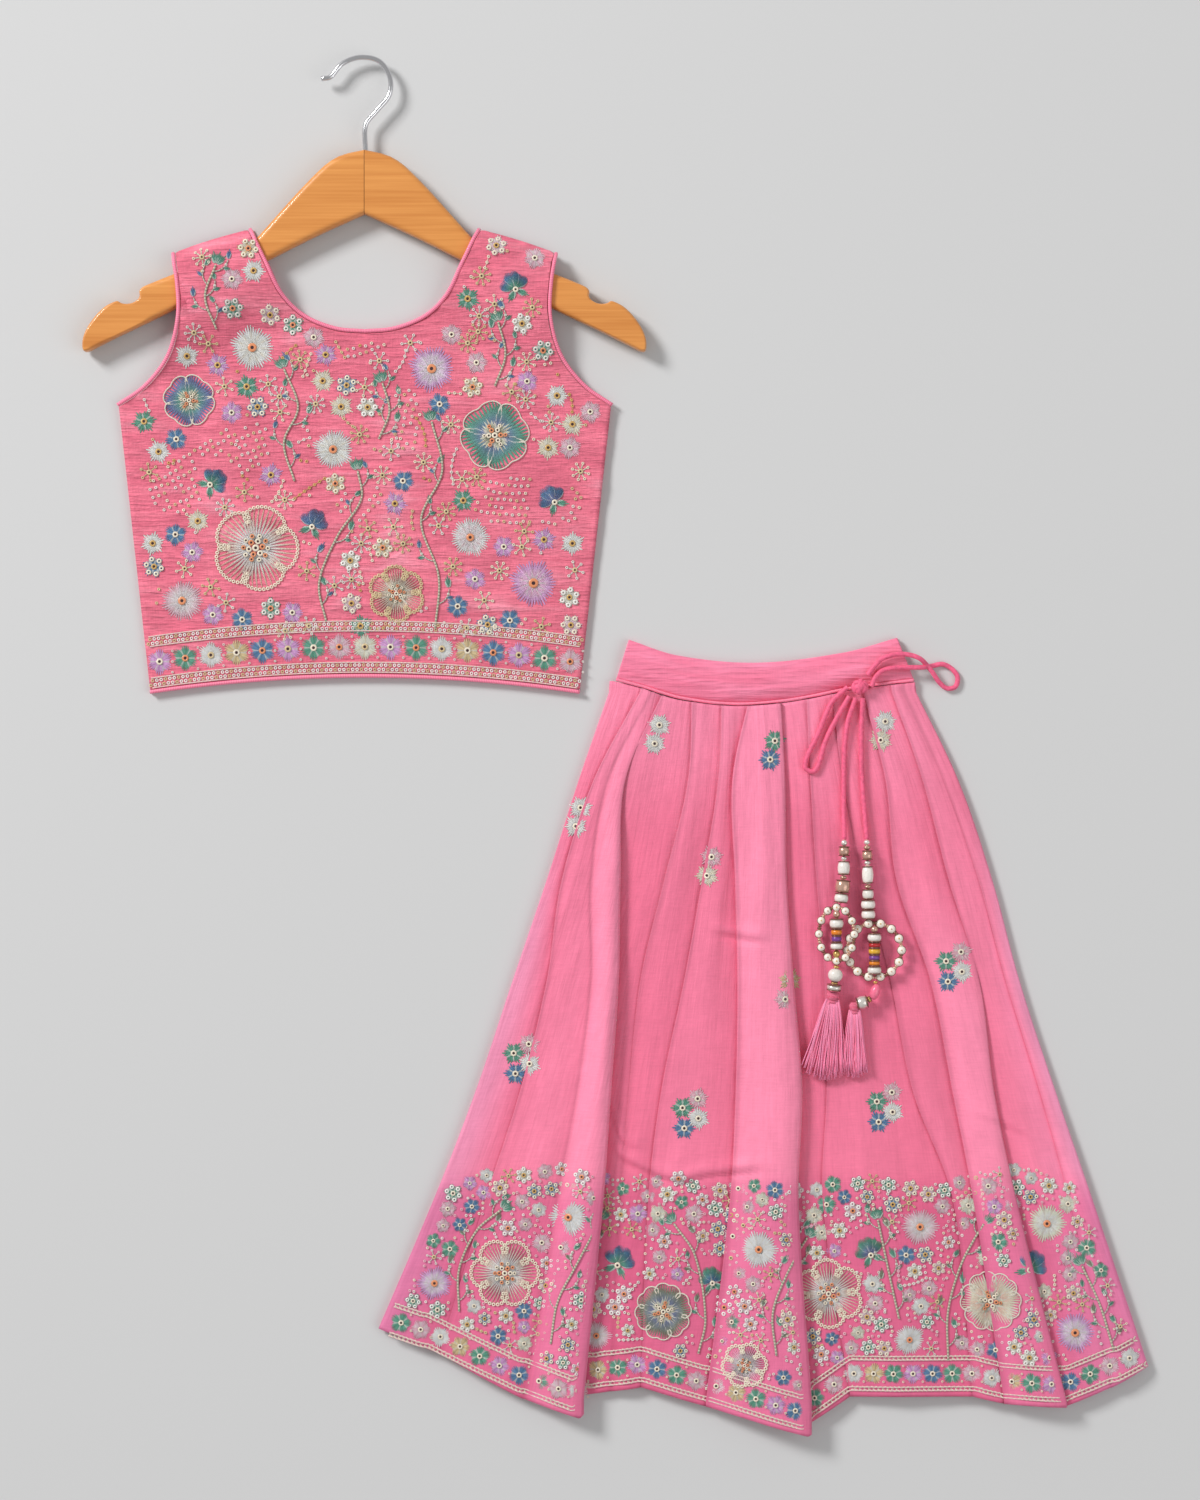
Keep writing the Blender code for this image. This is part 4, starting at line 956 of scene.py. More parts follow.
def build_skirt(cloth, band_cloth, satin):
    x, y, z = skirt_grid(215)
    colours = skirt_colours(x, y, z)
    z = FRONT_BASE + z + skirt_detail(x, y)
    sheet = grid_mesh("skirt_front_cloth", SKIRT_X + x, y, z, colours, 1.6, fan(x, y) * 0.7)
    front = make_object("skirt_front_cloth", sheet, cloth)
    u = np.linspace(0, 1, 60)[None, :]
    v = np.linspace(0, 1, 60)[:, None]
    top = seam_y(SEAM_X[-1] * (2 * u - 1)) - SEAM_DROP
    y = top + (front_hem(HEM_HALF * (2 * u - 1)) + BACK_RISE - top) * v
    x = line_x("left_edge", y) + (line_x("right_edge", y) - line_x("left_edge", y)) * u
    plain = np.broadcast_to(np.array(PINK), (*x.shape, 3))
    sheet = grid_mesh("skirt_back_cloth", SKIRT_X + x, y, BACK_LEVEL + 0 * x, plain, 1.3)
    back = make_object("skirt_back_cloth", sheet, cloth)
    band = waistband("waistband_front_cloth", True, 60, 190, band_cloth)
    band_back = waistband("waistband_back_cloth", False, 4, 40, band_cloth)
    xs = np.linspace(-PIPING_SIDE, PIPING_SIDE, 150)
    level = FRONT_BASE - FRONT_THICK + BAND_PIPING / 2 + PIPING_RISE
    route = np.stack((SKIRT_X + xs, seam_y(xs), 0 * xs + level), axis=1)
    heap = Heap()
    heap.add(tube_shape(route, BAND_PIPING / 2, 10), PIPING_PINK, tube_uvs(len(route), 10, 1.0))
    piping = heap.build("waist_piping", satin)
    rows = ((front, "skirt_front", "skirt_cloth"), (back, "skirt_back", "skirt_cloth"),
            (band, "waistband_front", "skirt_cloth"), (band_back, "waistband_back", "skirt_cloth"),
            (piping, "waistband_piping", "waistband_piping"))
    for piece, node, slot in rows:
        stand_for(piece, node)


# Embroidery: each petal is a fan of satin stitches, made once and then turned, sized and coloured in place

def fan_template(strands, tip="round", rows=4, fill=1.25):
    """Stitches from a petal's foot to its outline, one unit long and wide, paler along its edges."""
    v = np.linspace(0, 1, rows)[:, None]
    u = np.array((-1.0, 0.0, 1.0))[None, :]
    points, faces, uvs, shades, edges = [], [], [], [], []
    for k in range(strands):
        t = -1 + 2 * (k + 0.5) / strands
        reach = 0.6 + 0.4 * math.cos(t * math.pi / 2)
        if tip == "pointed":
            reach = 0.5 + 0.5 * (1 - abs(t)) ** 0.9
        if tip == "notched":
            reach -= 0.16 * (1 - abs(t)) ** 2
        start, end = np.array((0.14, 0.07 * t)), np.array((reach, 0.5 * math.sin(t * math.pi / 2)))
        along = end - start
        size = np.linalg.norm(along)
        across = sideways(along) / size
        half = 0.5 * fill / strands * np.sin(np.pi * (0.16 + 0.72 * v))
        bow = 0.1 * t * np.sin(np.pi * v)
        x = start[0] + along[0] * v + across[0] * (half * u + bow)
        y = start[1] + along[1] * v + across[1] * (half * u + bow)
        z = (0.25 + 0.75 * (1 - u ** 2)) * np.sin(np.pi * (0.1 + 0.8 * v))
        points.append(np.stack((x, y, z), axis=-1).reshape(-1, 3))
        corner = (np.arange(rows - 1)[:, None] * 3 + np.arange(2)[None, :]).ravel() + k * rows * 3
        faces.append(np.stack((corner, corner + 1, corner + 4, corner + 3), axis=1))
        uvs.append(np.stack((v + 0 * u, u + 0 * v), axis=-1).reshape(-1, 2))
        shades.append(np.full(rows * 3, 0.82 + 0.3 * random.random()))
        edges.append(np.full(rows * 3, float(strands > 1 and k in (0, strands - 1))))
    return [np.concatenate(values) for values in (points, faces, uvs, shades, edges)]


SMALL_PETAL = fan_template(4, rows=3)
ROUND_PETAL = fan_template(6)
POINTED_PETAL = fan_template(5, "pointed")
# Draws passed over, so that those after them keep their values
random.random(7)
LARGE_PETAL = fan_template(15, "notched", 5)
OPEN_PETAL = fan_template(13, "round", 5, 0.62)
STITCH = fan_template(1, "round", 3, 1.0)
# Length of a stem's leaves
LEAF = 8.0


class Thread:
    """Embroidery on one panel, from its centre line: satin stitch, metal thread and sequins."""

    def __init__(self):
        self.satin, self.sequins = Heap(), Heap()

    def petal(self, template, x, y, angle, length, width, inner, outer, height=0.5):
        points, faces, uvs, shades, edges = template
        px, py = turned(points[:, 0] * length, points[:, 1] * width, angle, x, y)
        spots = np.stack((px, py, points[:, 2] * height), axis=1)
        blend = smooth_step(0.15, 0.8, uvs[:, :1])
        colours = (np.array(inner) * (1 - blend) + np.array(outer) * blend) * shades[:, None] * PETAL_GLOW
        colours = mixed(colours, WHITE, edges * PALE_EDGE)
        self.satin.add((spots, faces), np.minimum(colours, 1.0), uvs * (length * 0.3, 1.0))

    def sequin(self, x, y, radius, colour, height=0.25, hole=0.4, middle=None):
        """A small cupped ring."""
        sides = 10 if radius > 1.2 else 8
        turn = 2 * np.pi * np.arange(sides) / sides
        rings = []
        for share, lift in ((1.0, 0.0), (0.82, 0.4), (hole, 0.1)):
            px, py = x + radius * share * np.cos(turn), y + radius * share * np.sin(turn)
            rings.append(np.stack((px, py, np.full(sides, height + lift)), axis=1))
        self.sequins.add((np.concatenate(rings), ring_faces(3, sides)), colour)
        # Painted shade: a dark disc fills the hole in the sequin's middle
        if middle is not None:
            self.sequins.add((rings[2] + (0, 0, -0.05), [tuple(range(sides))]), middle)

    def flower(self, x, y, radius, petals, colour, centre, template, turn, slim=0.7):
        width = 2 * radius * math.sin(math.pi / petals) * slim
        for angle in turns(petals, turn):
            self.petal(template, x, y, angle, radius * random.uniform(0.96, 1.08), width, colour, colour)
        self.sequin(x, y, radius * 0.27, centre, 0.6, 0.46, PAINTED_HOLE_SHADE)

    def sequin_flower(self, x, y, radius, petals, thread, ring, centre, turn=0.0):
        """A small flower with a ring sequin near the tip of each petal."""
        self.flower(x, y, radius, petals, thread, centre, SMALL_PETAL, turn, 0.62)
        for angle in turns(petals, turn):
            self.sequin(*around(x, y, 0.68 * radius, angle), radius * 0.23, ring, 0.55)

    def star(self, x, y, radius, arms, colour, turn=0.0):
        """Straight stitches from a sequin, each with a tiny ring at its tip."""
        for angle in turns(arms, turn):
            self.petal(STITCH, x, y, angle, radius, radius * 0.16, colour, colour, 0.4)
            self.sequin(*around(x, y, radius, angle), radius * 0.19, colour)
        self.sequin(x, y, radius * 0.32, BEIGE, 0.5, 0.4, PAINTED_HOLE_SHADE)

    def daisy(self, x, y, radius, petals, outer, inner):
        """A full flower of slim petals in two layers round a sequin."""
        outer = tuple(0.94 * part for part in outer)
        for layer, (reach, template) in enumerate(((1.0, ROUND_PETAL), (0.66, SMALL_PETAL))):
            width = 1.75 * radius * reach * math.sin(math.pi / petals)
            for angle in turns(petals, math.pi * layer / petals):
                length = radius * reach * random.uniform(0.9, 1.06)
                self.petal(template, x, y, angle, length, width, inner, outer, 0.5 + 0.3 * layer)
        self.sequin(x, y, radius * 0.2, PEACH, 1.0, 0.4, PAINTED_HOLE_SHADE)

    def big_flower(self, x, y, radius, petals, outer, inner, rim, turn, filled):
        """A large flower: broad petals edged with cord or sequins, and a cluster of sequins."""
        width = 2 * radius * math.sin(math.pi / petals) * (0.86 if filled else 0.9)
        template, count = (LARGE_PETAL, 6) if filled else (OPEN_PETAL, 10)
        for angle in turns(petals, turn):
            self.petal(template, x, y, angle, radius, width, inner, outer, 0.7)
            self.outline(x, y, angle, radius * 1.04, width, rim, filled)
            if filled:
                self.petal(ROUND_PETAL, x, y, angle, radius * 0.55, width * 0.36, SAGE, CREAM, 1.1)
        for reach, rings, size in ((0.0, 1, 0.09), (0.17, 6, 0.075), (0.3, count, 0.06)):
            for k, angle in enumerate(turns(rings, turn)):
                spot = around(x, y, radius * reach, angle)
                self.sequin(*spot, radius * size, (CREAM, PEACH)[k % 2], 1.1, 0.42, PAINTED_HOLE_SHADE)

    def outline(self, x, y, angle, length, width, colour, filled):
        """The edge of a broad petal, in couched cord or in a row of ring sequins."""
        t = np.linspace(-1.15, 1.15, 15)
        px = length * (0.6 + 0.4 * np.cos(t * np.pi / 2) - 0.14 * np.maximum(1 - np.abs(t), 0) ** 2 * filled)
        py = width * 0.5 * np.sin(np.clip(t, -1, 1) * np.pi / 2) * (1 - np.maximum(np.abs(t) - 1, 0) * 1.5)
        spots = np.stack(turned(px, py, angle, x, y), axis=1)
        if filled:
            self.cord(spots, 0.4, colour, CREAM)
        else:
            for px, py in smooth_route(spots, 2.3):
                self.sequin(px, py, 1.15, colour, 0.35)

    def cord(self, spots, radius, colour, second, spacing=0.9, height=0.35):
        """Twisted cord couched along a route, in two alternating colours."""
        route = smooth_route(spots, spacing)
        twist = np.arange(len(route)) % 2
        colours = np.repeat(mixed(colour, second, twist), 6, axis=0)
        lift = np.full((len(route), 1), height)
        shape = tube_shape(np.hstack((route, lift)), radius * (1 + 0.18 * twist), 6, 0.8)
        self.satin.add(shape, colours, tube_uvs(len(route), 6, 0.2))

    def leaf(self, x, y, angle, length, colour):
        self.petal(POINTED_PETAL, x, y, angle, length, length * 0.46, colour, colour, 0.6)

    def spray(self, spots, twigs, colours):
        """A roped stem with curled twigs on alternate sides, their leaves and rings, and a bud at its tip."""
        self.cord(spots, 0.62, CREAM, SAGE)
        route = smooth_route(spots, 1.0)
        for k in range(twigs):
            i = int((k + 0.6) / twigs * (len(route) - 2))
            along = route[i + 1] - route[i]
            lean = 1.0 if k % 2 else -1.0
            angle = math.atan2(along[1], along[0]) + lean
            twig = [tuple(route[i])]
            for _ in range(4):
                twig.append(around(*twig[-1], 0.36 * LEAF, angle))
                angle -= 0.32 * lean
            self.cord(np.array(twig), 0.34, SILVER, SAGE)
            self.leaf(*twig[-1], angle, LEAF * random.uniform(0.7, 1.0), by_turns(colours, k))
            self.leaf(*twig[2], angle + 1.5 * lean, LEAF * 0.6, by_turns(colours, k + 1))
            self.sequin(*twig[3], 0.85, SILVER)
        along = route[-1] - route[-3]
        heading = math.atan2(along[1], along[0])
        for lean in (-0.5, 0.0, 0.5):
            self.leaf(*route[-1], heading + lean, LEAF, colours[0])

    def bud(self, x, y, radius, angle, outer, inner):
        """A half-open flower: three broad petals and two leaves at its foot."""
        for lean, share in ((-0.75, 0.86), (0.0, 1.0), (0.75, 0.86)):
            self.petal(LARGE_PETAL, x, y, angle + lean, radius * share, radius * 0.72, inner, outer, 0.8)
        for lean in (-2.3, 2.3):
            self.leaf(x, y, angle + lean, radius * 0.7, GREEN)
        self.sequin(x, y, radius * 0.14, CREAM, 1.0, 0.4, PAINTED_HOLE_SHADE)

    def trail(self, spots, colour):
        """Tiny ring sequins strung out along a thin thread."""
        if len(spots) > 2:
            self.cord(spots, 0.16, colour, colour, 2.0, 0.15)
        for x, y in spots:
            self.sequin(x, y, RING_RADIUS, colour)

    def motifs(self, large, daisies, buds, sprays, petals, twigs, leaves, gaps):
        """The main flowers, half-open flowers and stems; gives the room that each takes."""
        taken = []
        for x, y, radius, count, filled, turn, outer, inner, rim in large:
            self.big_flower(x, y, radius, count, outer, inner, rim, turn, filled)
            taken.append((x, y, radius + gaps[0]))
        for x, y, radius, outer, inner in daisies:
            self.daisy(x, y, radius, petals, outer, inner)
            taken.append((x, y, radius + gaps[1]))
        for x, y, radius, angle, outer, inner in buds:
            self.bud(x, y, radius, angle, outer, inner)
            taken.append((*around(x, y, 0.4 * radius, angle), radius))
        for spots in sprays:
            self.spray(spots, twigs, leaves)
            taken += [(x, y, gaps[2]) for x, y in smooth_route(spots, 6.0)]
        return taken

    def build(self, name, satin, sequins, panel):
        self.satin.build(name + "_thread", satin, panel)
        self.sequins.build(name + "_sequins", sequins, panel)


BORDER_COLOURS = (LILAC, GREEN, WHITE, BEIGE, BLUE, LILAC, GREEN, ROSE, CREAM)


def braid(thread, xs, ys, width, pitch, rings):
    """A narrow edging: two couched lines with rows of ring sequins or chain loops between."""
    route = smooth_route(np.stack((xs, ys), axis=1), pitch)
    along = unit(np.gradient(route, axis=0))
    across = sideways(along)
    for side in (-0.5, 0.5):
        thread.cord(route + across * width * side, 0.4, CREAM, ROSE, 1.1)
    for i, spot in enumerate(route):
        if rings:
            for side, shift in ((-0.22, -0.25), (0.22, 0.25)):
                x, y = spot + across[i] * width * side + along[i] * pitch * shift
                thread.sequin(x, y, pitch * 0.42, WHITE if i % 3 else BEIGE, 0.25, 0.45)
        else:
            angle = math.atan2(along[i, 1], along[i, 0])
            for lean in (-0.5, 0.5):
                thread.petal(STITCH, *spot, angle + lean, pitch * 1.2, pitch * 0.4, CREAM, CREAM, 0.4)


def clear_of(x, y, taken, spacing):
    """Whether a place is further than a spacing from all that is taken."""
    return all((x - ox) ** 2 + (y - oy) ** 2 > (spacing + gap) ** 2 for ox, oy, gap in taken)


def free_spots(rng, count, spacing, inside, taken):
    """Places inside an area that keep clear of the ones already taken."""
    spots = []
    for _ in range(count * 90):
        if len(spots) == count:
            break
        x, y = inside(rng)
        if clear_of(x, y, taken, spacing):
            spots.append((x, y))
            taken.append((x, y, spacing))
    return spots


def trails(rng, count, steps, pitch, inside, accept, taken):
    """Curved runs of places that wander about and stop at a motif or at the area's edge."""
    runs = []
    for _ in range(count):
        x, y = inside(rng)
        heading, bend = rng.uniform(0, 2 * math.pi), rng.uniform(-0.22, 0.22)
        run = []
        while len(run) < steps and accept(x, y) and clear_of(x, y, taken, 0.6):
            run.append((x, y))
            x, y = around(x, y, pitch, heading)
            heading += bend
        taken += [(x, y, 1.4) for x, y in run]
        if run:
            runs.append(run)
    return runs


def ring_rows(rng, centre, half, lean, taken):
    """Places in bent rows that fill an oval."""
    spots = []
    for row in np.arange(-half[1], half[1], 4.3):
        for along in np.arange(-half[0], half[0], 3.5):
            if (along / half[0]) ** 2 + (row / half[1]) ** 2 > 1 or rng.random() < 0.12:
                continue
            level = row + 5.0 * math.sin(along / half[0] * 2.0) + rng.uniform(-0.5, 0.5)
            x, y = turned(along, level, lean, *centre)
            if clear_of(x, y, taken, 1.0) and on_front(x, y):
                spots.append((x, y))
    return spots


def ring_fill(rng, box, accept, taken):
    """Places on an uneven grid that fill what is left between the motifs."""
    blocked = np.array(taken)
    x, y = np.meshgrid(np.arange(box[0], box[1], RING_PITCH), np.arange(box[2], box[3], RING_PITCH))
    x = (x + rng.uniform(-0.3, 0.3, x.shape) * RING_PITCH).ravel()
    y = (y + rng.uniform(-0.3, 0.3, y.shape) * RING_PITCH).ravel()
    spots = []
    for px, py in zip(x, y):
        away = (blocked[:, 0] - px) ** 2 + (blocked[:, 1] - py) ** 2 > (blocked[:, 2] + 0.7) ** 2
        if away.all() and accept(px, py) and rng.random() < 0.8:
            spots.append((px, py))
    return spots


# Choli's motifs, from its centre line: x, y, radius, petals, whether filled, turn and colours
CHOLI_LARGE = ((-62.0, 112.0, 23.0, 5, False, -61.6, BLUSH, WHITE, CREAM),
               (74.0, 176.0, 20.0, 4, True, 74.4, GREEN, PERIWINKLE, SILVER),
               (-100.0, 196.0, 15.0, 4, True, -99.6, PERIWINKLE, GREEN, SILVER),
               (18.0, 86.0, 15.0, 6, False, 18.4, BLUSH, CREAM, BEIGE))
CHOLI_DAISIES = ((-64.0, 226.0, 13.0, WHITE, CREAM), (38.0, 214.0, 13.5, LILAC, WHITE),
                 (96.0, 92.0, 14.0, LILAC, ROSE), (-18.0, 168.0, 12.0, WHITE, CREAM),
                 (-104.0, 82.0, 12.0, ROSE, WHITE), (60.0, 118.0, 11.5, WHITE, ROSE))
CHOLI_BUDS = ((86.0, 258.0, 12.0, 1.9, BLUE, GREEN), (-30.0, 124.0, 12.0, 1.2, PERIWINKLE, BLUE),
              (108.0, 138.0, 12.0, 2.2, BLUE, PERIWINKLE), (-88.0, 148.0, 12.0, 0.7, BLUE, GREEN))
CHOLI_SPRAYS = (((-22.0, 70.0), (-26.0, 92.0), (-16.0, 118.0), (-2.0, 140.0), (-4.0, 156.0)),
                ((40.0, 66.0), (42.0, 96.0), (32.0, 128.0), (44.0, 156.0), (38.0, 184.0)),
                ((-40.0, 150.0), (-46.0, 172.0), (-38.0, 192.0), (-46.0, 214.0)),
                ((-84.0, 236.0), (-90.0, 254.0), (-84.0, 272.0)),
                ((74.0, 204.0), (80.0, 222.0), (76.0, 240.0)),
                ((8.0, 174.0), (14.0, 190.0), (10.0, 206.0)))

# Fields of tiny rings: middle, half sizes, lean
CHOLI_ROWS = (((-88.0, 158.0), (40.0, 17.0), 0.35), ((92.0, 138.0), (30.0, 16.0), -0.3),
              ((12.0, 232.0), (26.0, 8.0), 0.1), ((-8.0, 132.0), (22.0, 12.0), 0.5),
              ((20.0, 186.0), (16.0, 16.0), 0.9))
# Small flowers' thread, rings and middle, and the petals of the plainer ones
CHOLI_LOOKS = ((BEIGE, CREAM, PEACH), (BLUE, CREAM, GOLD), (ROSE, CREAM, GOLD),
               (GREEN, SILVER, PEACH), (CREAM, WHITE, GOLD))
CHOLI_POINTED = (WHITE, LILAC, GREEN, CREAM)
CHOLI_ROUND = (LILAC, BLUE, ROSE)
# Edgings above the choli's hem: height and stretch, then their width and pitch
CHOLI_BRAIDS = ((6.0, 1.0), (29.5, 1.012))
BRAID_WIDTH = 5.6
BRAID_PITCH = 2.5
# The choli's row of single flowers: how many, how far apart, how high and their radius
CHOLI_ROW = (17, 14.6, 17.6, 7.3)
# The lowest that a motif's middle may lie on the choli, and how far it keeps from the other edges
FIELD_LOW = 64
FIELD_MARGIN = 5.0
NECK_MARGIN = 8.0
# Half the width that is free for motifs at each height
SIDE_Y = (29.0, 194.4, 205.5, 222.0, 242.0, 280.0)
SIDE_X = (118.0, 136.0, 120.0, 108.0, 102.0, 104.0)
FIELD_BOX = ((-132, 132), (FIELD_LOW, 284))
# Small flowers and stars: how many and how far apart; trails: how many, how long and how close
CHOLI_SMALL = (62, 6.0)
CHOLI_STARS = (56, 4.2)
CHOLI_TRAILS = (190, 9, 3.4)
POINTED_RADIUS = 7.0
ROUND_RADIUS = 6.4
STAR_RADIUS = 4.8
RING_RADIUS = 0.95
CHOLI_LIFT = 0.12


def on_front(x, y):
    """Whether a motif's middle may lie at this place on the choli."""
    near = max(abs(x) - FIELD_MARGIN, 0.0)
    neck = np.interp(near, [row[0] for row in NECK], [row[1] for row in NECK[:-1]] + [NECK_FREE])
    top = min(neck - NECK_MARGIN, shoulder_y(x) - FIELD_MARGIN)
    return abs(x) < np.interp(y, SIDE_Y, SIDE_X) - FIELD_MARGIN and FIELD_LOW < y < top


def choli_inside(rng):
    """A random place on the front, clear of its border, neck and armholes."""
    while True:
        x, y = (rng.uniform(*span) for span in FIELD_BOX)
        if on_front(x, y):
            return x, y


def embroider_choli(satin, sequins):
    thread = Thread()
    rng = np.random.default_rng(11)
    xs = np.linspace(-HEM_SIDE + 1.0, HEM_SIDE - 1.0, 60)
    for height, stretch in CHOLI_BRAIDS:
        braid(thread, xs * stretch, choli_hem(xs) + height, BRAID_WIDTH, BRAID_PITCH, True)
    count, pitch, height, radius = CHOLI_ROW
    for k in range(count):
        x = (k - (count - 1) / 2) * pitch
        y = float(choli_hem(x)) + height
        colour = by_turns(BORDER_COLOURS, k)
        thread.flower(x, y, radius, 6, colour, (CREAM, PEACH, BEIGE)[k % 3], ROUND_PETAL, math.pi / 2)
        for step in (-6.0, 0.0, 6.0):
            thread.sequin(x + pitch / 2, y + step, 0.75, SILVER)
    taken = thread.motifs(CHOLI_LARGE, CHOLI_DAISIES, CHOLI_BUDS, CHOLI_SPRAYS, 11, 5, (GREEN, BLUE, GREEN),
                          (1.5, 1.0, 4.5))
    rows = []
    for centre, half, lean in CHOLI_ROWS:
        rows += ring_rows(rng, centre, half, lean, taken)
    for k, (x, y) in enumerate(rows):
        thread.sequin(x, y, RING_RADIUS, (SILVER, CREAM, BEIGE, SILVER)[k % 4])
    taken += [(x, y, 1.2) for x, y in rows]
    for k, (x, y) in enumerate(free_spots(rng, *CHOLI_SMALL, choli_inside, taken)):
        pick = k // 3
        if k % 3 == 0:
            colour = by_turns(CHOLI_POINTED, pick)
            thread.flower(x, y, POINTED_RADIUS, 6, colour, GOLD, POINTED_PETAL, k, 0.72)
        elif k % 3 == 1:
            colour = by_turns(CHOLI_ROUND, pick)
            thread.flower(x, y, ROUND_RADIUS, 6, colour, CREAM, ROUND_PETAL, k)
        else:
            thread.sequin_flower(x, y, ROUND_RADIUS, 6, *by_turns(CHOLI_LOOKS, pick), k)
    for k, (x, y) in enumerate(free_spots(rng, *CHOLI_STARS, choli_inside, taken)):
        thread.star(x, y, STAR_RADIUS, 8 if k % 2 else 6, (SILVER, BEIGE, CREAM)[k % 3], k)
    for k, run in enumerate(trails(rng, *CHOLI_TRAILS, choli_inside, on_front, taken)):
        thread.trail(run, (SILVER, BEIGE, CREAM, GOLD)[k % 4])
    thread.build("choli_embroidery", satin, sequins, (choli_height, CHOLI_X, CHOLI_LIFT))


# Clusters of four on the skirt, from its centre line, and their flowers
BUTI_OFFSETS = ((0.0, 5.2), (8.6, 10.4), (9.0, -0.8), (1.0, -6.4))
BUTI_COLOURS = (GREEN, ROSE, WHITE, BLUE)
SKIRT_BUTIS = ((102.6, -128.0), (-143.0, -180.5), (-47.0, -211.5), (63.5, -208.0))
# Pairs of flowers on the skirt: x, y and the two colours; then each one's shift and turn
SKIRT_PAIRS = ((-61.6, 6.0, WHITE, WHITE), (4.0, -3.0, GREEN, BLUE), (66.8, 8.0, WHITE, CREAM),
               (-106.5, -41.0, WHITE, WHITE), (-32.0, -69.0, ROSE, CREAM), (12.5, -139.0, BEIGE, ROSE))
PAIR_OFFSETS = ((1.5, 5.3, 0.2), (-1.2, -5.3, 0.5))
# Skirt's motifs, as the choli's
SKIRT_LARGE = ((-148.0, -300.0, 18.5, 6, False, 0.0, BLUSH, WHITE, CREAM),
               (-58.0, -322.0, 17.0, 6, True, 0.3, SAGE, PERIWINKLE, SILVER),
               (36.0, -312.0, 18.5, 6, False, 0.6, BLUSH, WHITE, CREAM),
               (128.0, -316.0, 18.0, 6, True, 0.9, CREAM, BLUSH, SILVER),
               (-12.0, -352.0, 12.0, 6, False, 1.2, ROSE, WHITE, CREAM))
SKIRT_DAISIES = ((-188.0, -306.0, 10.0, LILAC, WHITE), (-112.0, -268.0, 11.0, WHITE, WHITE),
                 (-4.0, -286.0, 11.0, WHITE, WHITE), (88.0, -274.0, 11.0, ROSE, WHITE),
                 (176.0, -334.0, 12.0, LILAC, WHITE), (160.0, -272.0, 11.0, CREAM, WHITE),
                 (-96.0, -336.0, 9.0, ROSE, WHITE), (82.0, -338.0, 9.0, WHITE, WHITE))
SKIRT_BUDS = ((-84.0, -296.0, 13.0, 1.2, BLUE, GREEN), (60.0, -290.0, 12.0, 2.0, GREEN, PERIWINKLE),
              (150.0, -298.0, 13.0, 1.0, BLUE, GREEN), (-30.0, -306.0, 11.0, 1.8, GREEN, BLUE))
SKIRT_SPRAYS = (((-174.0, -322.0), (-174.0, -298.0), (-164.0, -276.0), (-150.0, -264.0)),
                ((-122.0, -340.0), (-118.0, -316.0), (-108.0, -296.0), (-94.0, -270.0)),
                ((6.0, -346.0), (4.0, -322.0), (12.0, -300.0), (24.0, -280.0)),
                ((76.0, -326.0), (72.0, -308.0), (64.0, -270.0)),
                ((104.0, -350.0), (104.0, -322.0), (112.0, -294.0), (124.0, -272.0)),
                ((198.0, -344.0), (190.0, -318.0), (180.0, -296.0)),
                ((-38.0, -346.0), (-34.0, -326.0), (-40.0, -290.0), (-52.0, -272.0)))
SKIRT_LOOKS = ((ROSE, WHITE, PEACH), (BLUE, CREAM, GOLD), (CREAM, WHITE, GOLD),
               (GREEN, WHITE, CREAM), (ROSE, CREAM, GOLD))
SKIRT_ROUND = (ROSE, WHITE, GREEN, ROSE, LILAC, CREAM, ROSE, BLUE)
HEM_ROW_COLOURS = (GREEN, ROSE, WHITE, BEIGE, GREEN, LILAC, BLUE)
# The skirt's row of single flowers: how many, half its width, how high and their radius
SKIRT_ROW = (38, 207.0, 13.2, 5.9)
# Lines of chain stitch above the skirt's hem: heights, the span that they cross, width and pitch
CHAIN_HEIGHTS = (4.6, 22.0)
CHAIN_SPAN = (-214.0, 215.0)
CHAIN_WIDTH = 2.0
CHAIN_PITCH = 2.6
# The border's field: how high above the hem it starts, and roughly where it ends
BORDER_RISE = 27
BORDER_TOP = -246
BORDER_MARGIN = 8.0
BORDER_BOX = (-216, 216, -376, -240)
BORDER_FIELD = ((-215, 215), (-372, -238))
# Heights of the strip that has mostly tiny rings, and how few of the flowers tried there stay
RING_STRIP = (-296, -266)
STRIP_SHARE = 0.3
# As the choli's, with two limits for the radius of a small flower
SKIRT_SMALL = (180, 4.5)
SKIRT_STARS = (60, 3.4)
SKIRT_TRAILS = (260, 7, 2.6)
SKIRT_RADII = (4.1, 5.7)
SKIRT_STAR_RADIUS = 3.9
RING_PITCH = 3.3
SKIRT_LIFT = 0.15


def in_border(x, y):
    top = BORDER_TOP - 8 * noise(x / 22.0, 0.5, 41)
    return inside_skirt(x, y, BORDER_MARGIN) and front_hem(x) + BORDER_RISE < y < top


def border_inside(rng):
    """A random place in the wide band above the skirt's hem."""
    while True:
        x, y = (rng.uniform(*span) for span in BORDER_FIELD)
        if in_border(x, y):
            return x, y


def border_flower_place(rng):
    """As border_inside, but seldom in the strip that has mostly tiny rings."""
    while True:
        x, y = border_inside(rng)
        if not RING_STRIP[0] < y < RING_STRIP[1] or rng.random() < STRIP_SHARE:
            return x, y


